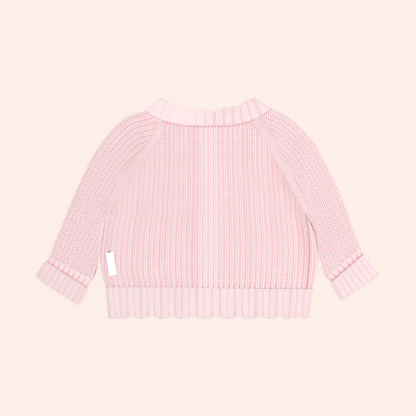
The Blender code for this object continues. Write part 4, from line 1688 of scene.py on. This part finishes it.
@dataclass
class Neckband(Piece):
    """Ribbed band round the neck, folded over at both shoulders, with a scalloped edge."""

    ribs: int = 28
    middle_groove: float = 0.66  # ribs from the middle of the back to the first groove
    rows: float = 11.0
    reach: float = 0.050  # of the bends at the shoulders, in halves of the band
    fan: float = 2.0  # the ribs lean apart faster towards the shoulders
    end_scallop: float = 0.15  # share of the half in which the scallops fade at its end
    left_relief: float = 0.5  # the ribs are stretched flatter on the left half
    relief_ease: tuple = (25.0, 40.0)  # where that begins to end left of the middle, and length
    tint: float = -0.2

    @property
    def half_length(self) -> float:
        """Half of the back's length with its bends laid out, in halves of the flat band."""
        return 1.0 + (0.5 * math.pi - 1.0) * self.reach

    def place(self, w: Array, r: Array) -> tuple[Array, Array, Array, Array]:
        """Lays the cloth out.

        Args:
            w: ribs.
            r: rows, 0 on the seam.

        Returns:
            X, Y, rise, and 1 on the back or -1 on the front.
        """
        form, half = self.form, self.half_length
        t = (w + self.middle_groove) * half * 4.0 / self.ribs
        t = np.mod(t + half, 4.0 * half) - half
        upper = np.where(t <= half, 1.0, -1.0)
        t = np.where(t <= half, t, 2.0 * half - t)
        arc = 0.5 * math.pi * self.reach
        bent, rise = quarter_bend(half - np.abs(t), self.reach, arc)
        along = np.sign(t) * (1.0 - bent)
        share = r / self.rows
        seam_x = np.abs(along) * form.pick(form.seam_line.end_x, along)
        ends = form.pick(form.edge_line.end_x, along) - form.pick(form.seam_line.end_x, along)
        edge_x = seam_x + np.abs(along) ** (1.0 + self.fan) * ends
        x = mix(seam_x, edge_x, share)
        seam, edge = (np.where(upper > 0, form.neck_y(line, Layer.UPPER, at),
                               form.neck_y(line, Layer.LOWER, at))
                      for line, at in ((form.seam_line, seam_x), (form.edge_line, edge_x)))
        fading = ease((1.0 - np.abs(along)) / self.end_scallop) * (upper > 0)
        rib = np.mod(w + 0.5 * self.ribs, self.ribs) - 0.5 * self.ribs
        edge = edge - form.neck_scallop_depth * fading * scallop(rib, 0.0, SCALLOP_RIBS)
        return x, mix(seam + 0.5 * form.seam_gap, edge, share), rise, upper

    def surface(self, w: Array, r: Array) -> Array:
        """Outer form.

        Args:
            w: ribs.
            r: rows.

        Returns:
            Its points.
        """
        x, y, rise, upper = self.place(w, r)
        form = self.form
        half_gap = 0.5 * form.seam_gap * np.minimum(rise * 4.0, 1.0)
        height = np.where(upper > 0, self.heights.read(x, y), form.middle)
        z = form.middle + upper * (half_gap + (height - half_gap) * rise)
        return np.column_stack([x, y, z - form.neck_sink(x, y) * (upper > 0)])

    def columns(self, across: float) -> list:
        """Columns round the whole band."""
        count = round(self.ribs / across)
        return [(self.ribs * i / count, 0.0, self.rows) for i in range(count)]

    def ground(self, w: Array, r: Array) -> Array:
        """1 on the front, which lies on the ground."""
        _, _, rise, upper = self.place(w, r)
        return ease(-upper * rise * 2.0)

    def slack(self, w: Array, r: Array) -> Array:
        """The ribs are stretched flatter on the left half."""
        start, length = self.relief_ease
        return mix(self.left_relief, 1.0, ease((self.place(w, r)[0] + start) / length))

    def roll(self, w: Array, r: Array) -> Array:
        """How far the free edge is rounded down."""
        return rolled(self.rows - r)

    def shade(self, w: Array, r: Array) -> Array:
        """The neckband is a little darker all over."""
        return np.full(len(w), self.tint)

    def build(self, material: bpy.types.Material) -> None:
        """Knits the band."""
        self.knit(RIB_STITCH, material, period=float(self.ribs), ground=self.ground,
                  roll=self.roll, depth=self.slack, tint=self.shade, rim=BAND_RIM, back_step=0.25)


class ProfilePoint(NamedTuple):
    """A point of a cuff's profile, from the sleeve (level 0) to its turn (1) and fold (2)."""

    level: float
    half: float  # half of the cuff's thickness at this layer
    ribbed: float  # how deep its ribs are
    shadow: float = 0.0  # how much darker it is
    plain: float = 0.0  # 1 where it is knitted like the sleeve


@dataclass
class Cuff(Piece):
    """Ribbed cuff, turned up once: a tube inside, a fold, and the turned-up tube outside it."""

    side: int = 1
    ribs: int = 18
    spacing: float = 0.75  # length of a mesh row where the cuff shows
    per_rib: int = 12
    line: float = 0.8  # how dark the painted shadow line along the turned-up edge is
    corner: float = 3.6  # radius of the corners at the fold, seen from above
    edge_corner: float = 1.3  # and at the turned-up edge
    edge_steps: int = 6  # mesh rows round the turned-up edge
    fold_steps: int = 12  # round the fold
    tube_steps: int = 22  # and along the inner tube
    both_bends: float = 6.0  # length that the bends at both ends of the turned-up layer take
    fold_bend: float = 2.8  # and the one at the fold
    tube_groove: tuple = (0.11, 0.6, 1.4)  # width in wales, level where it is whole, and depth
    tube_depth: float = 0.4  # share of the tube's stitches that is relief, the rest is colour
    rib_sunk: float = 1.5  # how far the ribs are sunk, in heights of their crests
    edge_ribs: float = 0.35  # share of the ribs' depth on the edge, under its roll
    inside_ribs: float = 0.2  # and at the fold's inner end
    bulge: float = 1.1  # how far the fold's middle is pushed out
    tube_relief: float = 0.70  # share of the sleeve's relief on the inner tube
    tube_tint: float = 1.7  # makes up for the shade in which that tube lies
    tint: float = 0.15  # how much lighter the ribbed cloth is; the left cuff's lower value is painted shade on the side away from the light

    def rows(self) -> tuple:
        """The cuff's lines at its seam, its turned-up edge and its fold."""
        return self.form.left_cuff if self.side < 0 else self.form.right_cuff

    def depth(self) -> float:
        """Measures the turned-up layer.

        Returns:
            Its mean height.
        """
        _, turn, fold = self.rows()
        outer = math.hypot(fold.outer_x - turn.outer_x, fold.outer_y - turn.outer_y)
        inner = math.hypot(fold.inner_x - turn.inner_x, fold.inner_y - turn.inner_y)
        return 0.5 * (outer + inner)

    def profile(self) -> list:
        """Goes up the outside, round the fold, back inside and out to the turn.

        Returns:
            The closed profile.
        """
        form, depth = self.form, self.depth()
        wall, half = form.cuff_wall, form.cuff_half
        inner_tube = half - wall - form.seam_gap
        roll = 0.5 * wall
        points = []
        for step in range(self.edge_steps + 1):
            share = step / self.edge_steps
            level = 1.0 + roll * (1.0 - math.sin(math.pi * share)) / depth
            points.append(ProfilePoint(level, half - roll - roll * math.cos(math.pi * share),
                                       mix(self.edge_ribs, 1.0, share), self.line * (1.0 - step / 4)))
        count = int((depth - self.both_bends) / self.spacing)
        for step in range(1, count):
            level = mix(1.0 + roll / depth, 2.0 - self.fold_bend / depth, step / count)
            points.append(ProfilePoint(level, half, 1.0))
        radius = 0.5 * (half - form.cuff_inside)
        for step in range(self.fold_steps + 1):
            angle = math.pi * step / self.fold_steps
            level = 2.0 - radius * (1.0 - math.sin(angle)) / depth
            points.append(ProfilePoint(level, form.cuff_inside + radius * (1.0 + math.cos(angle)),
                                       mix(1.0, self.inside_ribs, step / self.fold_steps)))
        points += [ProfilePoint(1.0, form.cuff_inside, 0.0), ProfilePoint(0.0, form.cuff_inside, 0.0),
                   ProfilePoint(0.0, inner_tube - 0.7, 0.0, 0.0, 1.0),
                   ProfilePoint(0.0, inner_tube - 0.2, 0.5, 0.0, 1.0)]
        for step in range(1, self.tube_steps + 1):
            share = step / self.tube_steps
            points.append(ProfilePoint(share, inner_tube, 1.0, self.line * share ** 7, 1.0))
        slit_end = 2.0 - wall / depth
        points += [ProfilePoint(1.1, inner_tube, 0.0, 1.0), ProfilePoint(1.5, inner_tube, 0.0),
                   ProfilePoint(slit_end - 0.5 / depth, inner_tube, 0.0),
                   ProfilePoint(slit_end, inner_tube + 0.5 * form.seam_gap, 0.0),
                   ProfilePoint(slit_end - 0.5 / depth, half - wall, 0.0),
                   ProfilePoint(1.5, half - wall, 0.0)]
        return points

    def drawn_in(self, level: Array, half: Array) -> Array:
        """Rounds the cuff's corners, seen from above.

        Args:
            level: where along the cuff.
            half: half of the thickness there.

        Returns:
            How far its ends are drawn in.
        """
        depth = self.depth()
        outer = half > self.form.cuff_half - self.form.cuff_wall
        amount = np.zeros(len(level))
        for radius, distance, there in ((self.corner, (2.0 - level) * depth, level > 1.0),
                                        (self.edge_corner, (level - 1.0) * depth, outer)):
            short = np.clip(radius - distance, 0.0, radius) * there
            amount = np.maximum(amount, radius - np.sqrt(radius ** 2 - short ** 2))
        return amount

    def ring(self, w: Array, level: Array, half: Array) -> tuple[Array, Array]:
        """Points round the flattened cuff and their outward directions.

        Args:
            w: rib coordinate, 0 at the outer crease and rising over the top.
            level: where along the cuff.
            half: half of the thickness there.

        Returns:
            The points and the directions.
        """
        form, rows = self.form, self.rows()
        first = np.clip(level.astype(int), 0, 1)
        table = np.array([list(row) for row in rows])
        row = mix(table[first], table[first + 1], (level - first)[:, None])
        outside, inside = row[:, :2], row[:, 2:]
        along = inside - outside
        length = np.linalg.norm(along, axis=1)
        along = along / length[:, None]
        start = form.cuff_half - half + self.drawn_in(level, half)
        flat = length - 2.0 * (start + half)
        bend_ribs = 0.25 * self.ribs * math.pi * form.cuff_half / (
            math.pi * form.cuff_half + float(np.mean(flat)))
        flat_ribs = 0.5 * self.ribs - 2.0 * bend_ribs
        p = np.mod(w, self.ribs)
        over = np.where(p <= 0.5 * self.ribs, 1.0, -1.0)
        p = np.where(p <= 0.5 * self.ribs, p, self.ribs - p)
        angle = 0.5 * math.pi * np.clip(p / bend_ribs, 0.0, 1.0)
        last = 0.5 * math.pi * np.clip((p - bend_ribs - flat_ribs) / bend_ribs, 0.0, 1.0)
        middle = np.clip((p - bend_ribs) / flat_ribs, 0.0, 1.0)
        place = start + half * (1.0 - np.cos(angle)) + flat * middle + half * np.sin(last)
        height = half * np.sin(angle) * np.cos(last)
        xy = outside + along * place[:, None]
        down = (table[2] - table[1])[:2] / np.linalg.norm((table[2] - table[1])[:2])
        share = 2.0 * place / length - 1.0
        xy = xy + down * (self.bulge * ease(level - 1.0) * (0.5 - share ** 2))[:, None]
        z = form.cuff_half + over * height
        sideways = -np.cos(angle) * (last == 0) + np.sin(last)
        upwards = over * np.where(last > 0, np.cos(last), np.sin(angle))
        return (np.column_stack([xy, z]), np.column_stack([along * sideways[:, None], upwards]))

    def build(self, material: bpy.types.Material) -> None:
        """Knits the cuff as one closed tube round its profile.

        Args:
            material: its finish.
        """
        points = self.profile()
        across = self.ribs * self.per_rib
        level, half, ribbed, shadow, plain = (np.array(column) for column in zip(*points))
        depth = self.depth()
        step_level, step_half = (0.5 * (np.roll(v, -1) - np.roll(v, 1)) for v in (level, half))
        tilt_down = -step_half / np.maximum(np.hypot(step_level * depth, step_half), 1e-6)
        straight = step_level * depth / np.maximum(np.hypot(step_level * depth, step_half), 1e-6)
        run = np.concatenate([[0.0], np.cumsum(np.hypot(np.diff(level) * depth, np.diff(half)))])
        grid_w = np.tile(np.arange(across) / self.per_rib, len(points))

        def spread(values: Array) -> Array:
            """Values of the profile's points at every place round the cuff."""
            return np.repeat(values, across)

        where, radial = self.ring(grid_w, spread(level), spread(half))
        beyond, _ = self.ring(grid_w, spread(level) + 0.01, spread(half))
        down = beyond - where
        down /= np.linalg.norm(down, axis=1, keepdims=True)
        rows = spread(run) / RIB_STITCH.row
        height = RIB_STITCH.relief(grid_w, rows)
        width, whole, deep = self.tube_groove
        groove = near(np.mod(grid_w + 0.5, 1.0) - 0.5, 0.0, width) * ease(spread(level) / whole)
        body = BODY_STITCH.relief(grid_w, spread(run) / BODY_STITCH.row)
        soft = (BODY_STITCH.crest - body) * self.tube_relief + groove * deep
        groove_shade = mix((RIB_STITCH.crest - height) / RIB_STITCH.shade_depth,
                     soft / BODY_STITCH.shade_depth, spread(plain))
        height = mix(height - RIB_STITCH.crest * self.rib_sunk, -self.tube_depth * soft,
                     spread(plain))
        amount = height * spread(ribbed)
        normal = radial * spread(straight)[:, None] + down * spread(tilt_down)[:, None]
        place = where + normal * amount[:, None]
        # Painted shade in the grooves, a painted shadow along the turned-up edge, and painted light on the
        # inner tube against the shade it lies in.
        marks = {"wale": grid_w, "row": rows,
                 TINT: mix(self.tint, self.tube_tint * (1.0 - spread(shadow)), spread(plain)),
                 GROOVE_SHADE: np.clip(groove_shade * spread(ribbed) + spread(shadow), 0.0, 1.0)}
        count, faces = len(points), []
        for row in range(count):
            this, other = row * across, (row + 1) % count * across
            faces += [(this + i, this + (i + 1) % across, other + (i + 1) % across, other + i)
                      for i in range(across)]
        self.hand_over(make_object(self.name, place, faces, marks, float(self.ribs)), material)


@dataclass
class SideLabel(Piece):
    """Woven tape folded in two and sewn on beside the left side, with nothing on it."""

    width: float = 10.6
    length: float = 31.8
    thickness: float = 0.34
    centre: tuple = (-130.4, -74.7)
    tilt: float = math.radians(8.4)
    lift: float = 0.36  # of the lower layer over the cloth's form
    spread: float = 0.44  # between the middles of the two layers
    curl: float = 0.5  # how far one lower corner stands up
    waves: tuple = (0.10, 7.0, 2.0)  # height of its low waves, and their turns down and across
    waist: float = 0.02  # how much narrower it looks in the middle
    edge: float = 0.08  # how far its edges are rounded
    grid: tuple = (8, 90)  # faces across and along
    loop: float = 0.85  # radius of the stitches' loops
    thread: float = 0.20  # and of their thread
    loops: int = 5
    first_loop: float = -0.18  # its place, in widths of the tape from the middle
    next_loop: float = 0.085  # and from one to the next
    loop_down: float = 0.35  # how far they are from the top edge
    loop_sunk: float = 0.25  # and how far their middles lie below the tape's
    loop_turn: float = 6.0  # every other one is turned this far, in degrees

    def on_cloth(self, across: float, down: float, above: float) -> tuple[float, float, float]:
        """Place on the back, from the label's top middle.

        Args:
            across: distance to the right of the label's middle line.
            down: distance from its top edge.
            above: height over the cloth's form.

        Returns:
            The place in millimetres.
        """
        from_middle = 0.5 * self.length - down
        x = self.centre[0] + across * math.cos(self.tilt) - from_middle * math.sin(self.tilt)
        y = self.centre[1] + across * math.sin(self.tilt) + from_middle * math.cos(self.tilt)
        height = float(self.heights.read(np.array([x]), np.array([y]))[0])
        return x, y, self.form.middle + height + above

    def tape(self) -> bpy.types.Object:
        """Models the tape: a strip folded at its lower end, given its thickness and rounded.

        Returns:
            The tape.
        """
        tape = add(bpy.ops.mesh.primitive_grid_add, self.name, x_subdivisions=self.grid[0],
                   y_subdivisions=self.grid[1], size=1.0)
        mesh = tape.data
        mesh.uv_layers[0].name = YARN_UV
        fold = 0.5 * math.pi * self.spread
        total = 2.0 * self.length + fold
        for vertex in mesh.vertices:
            across, s = vertex.co.x * self.width, (vertex.co.y + 0.5) * total
            if s <= self.length:
                down, above = s, self.lift + self.spread
            elif s <= self.length + fold:
                angle = (s - self.length) / (0.5 * self.spread)
                down = self.length + 0.5 * self.spread * math.sin(angle)
                above = self.lift + 0.5 * self.spread * (1.0 + math.cos(angle))
            else:
                down, above = total - s, self.lift
            share = down / self.length
            sway = self.curl * share ** 3 * max(across / self.width + 0.1, 0.0)
            high, down_turns, across_turns = self.waves
            wave = high * math.sin(down_turns * share + across_turns * across / self.width)
            narrowed = across * (1.0 - self.waist * math.sin(math.pi * share))
            x, y, z = self.on_cloth(narrowed, down, above + sway + max(wave, 0.0))
            vertex.co = Vector((x, y, z)) * MM
        for kind, settings in (("SOLIDIFY", {"thickness": self.thickness * MM, "offset": 0.0}),
                               ("BEVEL", {"width": self.edge * MM, "segments": 2})):
            modifier = tape.modifiers.new(kind.title(), kind)
            for key, value in settings.items():
                setattr(modifier, key, value)
            bpy.ops.object.modifier_apply(modifier=modifier.name)
        bpy.ops.object.shade_smooth()
        return tape

    def stitches(self) -> bpy.types.Object:
        """Models the small bar of thread across the tape's top edge.

        Returns:
            The thread.
        """
        made = []
        for step in range(self.loops):
            across = self.width * (self.next_loop * step + self.first_loop)
            x, y, z = self.on_cloth(across, self.loop_down, self.lift + self.spread - self.loop_sunk)
            turn = self.tilt + math.radians(90.0 + self.loop_turn * (step % 2))
            made.append(add(bpy.ops.mesh.primitive_torus_add, self.name + "_stitches",
                            major_segments=20, minor_segments=8, major_radius=self.loop * MM,
                            minor_radius=self.thread * MM, rotation=(math.radians(90), 0.0, turn),
                            location=(x * MM, y * MM, z * MM)))
        bpy.ops.object.select_all(action="DESELECT")
        for loop in made:
            loop.select_set(True)
        bpy.context.view_layer.objects.active = made[0]
        bpy.ops.object.join()
        bpy.ops.object.transform_apply(location=True, rotation=True, scale=True)
        bpy.ops.object.shade_smooth()
        return bpy.context.active_object

    def build(self, tape_finish: bpy.types.Material, thread_finish: bpy.types.Material) -> None:
        """Makes the tape and its stitches.

        Args:
            tape_finish: the finish of the tape.
            thread_finish: and of the thread.
        """
        tape, thread = self.tape(), self.stitches()
        thread.data.materials.clear()
        thread.data.materials.append(thread_finish)
        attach(thread, BODY)
        self.hand_over(tape, tape_finish, [thread])
        log.info("%s: tape and %d faces of thread", self.name, len(thread.data.polygons))


# ---- studio

@dataclass(frozen=True)
class Studio:
    """Pale floor, soft light from the right, and a camera that looks straight down."""

    view_width: float = 0.5616  # what the picture's width takes in
    view_height: float = 3.0  # height of the camera
    sensor: float = 36.0
    camera_reach: float = 20.0
    floor_size: float = 6.0
    floor_level: float = -0.0004
    floor_colour: tuple = (0.974, 0.863, 0.799, 1.0)
    floor_glow: float = 0.93  # share of the floor's light that is its own, without shadows
    floor_roughness: float = 0.95
    key_place: tuple = (0.95, 0.25, 0.75)
    key_size: float = 0.5
    key_watts: float = 2.3
    key_colour: tuple = (1.0, 0.985, 0.97)
    sky_colour: tuple = (1.0, 0.985, 0.98, 1.0)
    sky_strength: float = 1.05

    def floor(self) -> None:
        """Lays the floor."""
        floor = add(bpy.ops.mesh.primitive_plane_add, "floor", size=self.floor_size,
                    location=(0.0, 0.0, self.floor_level))
        lit = tuple(part * (1.0 - self.floor_glow) for part in self.floor_colour[:3]) + (1.0,)
        floor.data.materials.append(NodeSheet("floor").dressed(
            {"Base Color": lit, "Roughness": self.floor_roughness, "Specular IOR Level": 0.0,
             "Emission Color": self.floor_colour, "Emission Strength": self.floor_glow}))

    def light(self) -> None:
        """Hangs a large soft light on the right, and fills the rest with pale light."""
        key = add(bpy.ops.object.light_add, "key", type="AREA", location=self.key_place)
        key.data.shape, key.data.size, key.data.energy = "DISK", self.key_size, self.key_watts
        key.data.color = self.key_colour
        key.rotation_euler = (-key.location).to_track_quat("-Z", "Y").to_euler()
        world = bpy.data.worlds.new("studio")
        world.use_nodes = True
        background = world.node_tree.nodes["Background"]
        background.inputs["Color"].default_value = self.sky_colour
        background.inputs["Strength"].default_value = self.sky_strength
        bpy.context.scene.world = world
        bpy.context.scene.view_settings.view_transform = "Standard"

    def camera(self) -> None:
        """Sets the camera."""
        camera = add(bpy.ops.object.camera_add, "camera", location=(0.0, 0.0, self.view_height),
                     rotation=(0.0, 0.0, 0.0))
        camera.data.sensor_width = self.sensor
        camera.data.lens = self.sensor * self.view_height / self.view_width
        camera.data.clip_end = self.camera_reach
        bpy.context.scene.camera = camera


# ---- main

def build_pieces() -> None:
    """Makes every piece of the sweater in order."""
    form = SweaterForm()
    heights = FieldMap(form.fullness, form.soft_folds)
    painted_shading = FieldMap(0.0, form.painted_shading)
    shared = {"form": form, "heights": heights, "painted_shading": painted_shading}
    knit = CottonYarn("pink_cotton_knit", (0.935, 0.93, 0.935, 1.0), (0.86, 0.37, 0.43, 1.0)).make()
    rib = CottonYarn("pink_cotton_rib", (0.91, 0.78, 0.80, 1.0), (0.82, 0.42, 0.47, 1.0),
                     light_end=0.0, dark_end=0.9).make()
    Panel("back_knit", "back", Slot.BODY, Cut(0.292, 0.228, 0.0545), ("front_knit",), **shared,
          layer=Layer.UPPER).build(knit)
    Panel("front_knit", "front", Slot.BODY, Cut(0.292, 0.213, 0.050), ("floor",), **shared,
          layer=Layer.LOWER).build(knit)
    Sleeve("sleeve_left_knit", "sleeve_left", Slot.BODY, Cut(0.140, 0.243, 0.0268), ("floor",),
           **shared, side=-1).build(knit)
    Sleeve("sleeve_right_knit", "sleeve_right", Slot.BODY, Cut(0.126, 0.229, 0.0248), ("floor",),
           **shared, side=1, first_pitch=6.1, last_pitch=5.3).build(knit)
    HemBand("back_hem_rib", "back_hem_band", Slot.RIB, Cut(0.285, 0.043, 0.0120),
            ("front_hem_rib",), **shared, layer=Layer.UPPER).build(rib)
    HemBand("front_hem_rib", "front_hem_band", Slot.RIB, Cut(0.285, 0.043, 0.0120), ("floor",),
            **shared, layer=Layer.LOWER).build(rib)
    Neckband("neck_rib", "neckband", Slot.RIB, Cut(0.390, 0.026, 0.0093), ("floor",),
             **shared).build(rib)
    Cuff("cuff_left_rib", "cuff_left", Slot.RIB, Cut(0.139, 0.065, 0.0090), ("floor",), **shared,
         side=-1, ribs=20, line=0.7, tint=-0.3).build(rib)
    Cuff("cuff_right_rib", "cuff_right", Slot.RIB, Cut(0.122, 0.080, 0.0097), ("floor",),
         **shared, side=1, ribs=18, line=1.0).build(rib)
    SideLabel("label_tape", "label", Slot.LABEL, Cut(0.0106, 0.0643, 0.00068), ("back_knit",),
              **shared, held="folded").build(WovenTape().make(), SewingThread().make())


def main() -> None:
    """Builds the scene: frame, studio and sweater."""
    logging.basicConfig(level=logging.INFO, format="%(message)s")
    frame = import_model()
    log.info("frame: %d nodes", len(frame["nodes"]))
    studio = Studio()
    studio.camera()
    studio.floor()
    studio.light()
    build_pieces()


if __name__ == "__main__":
    main()
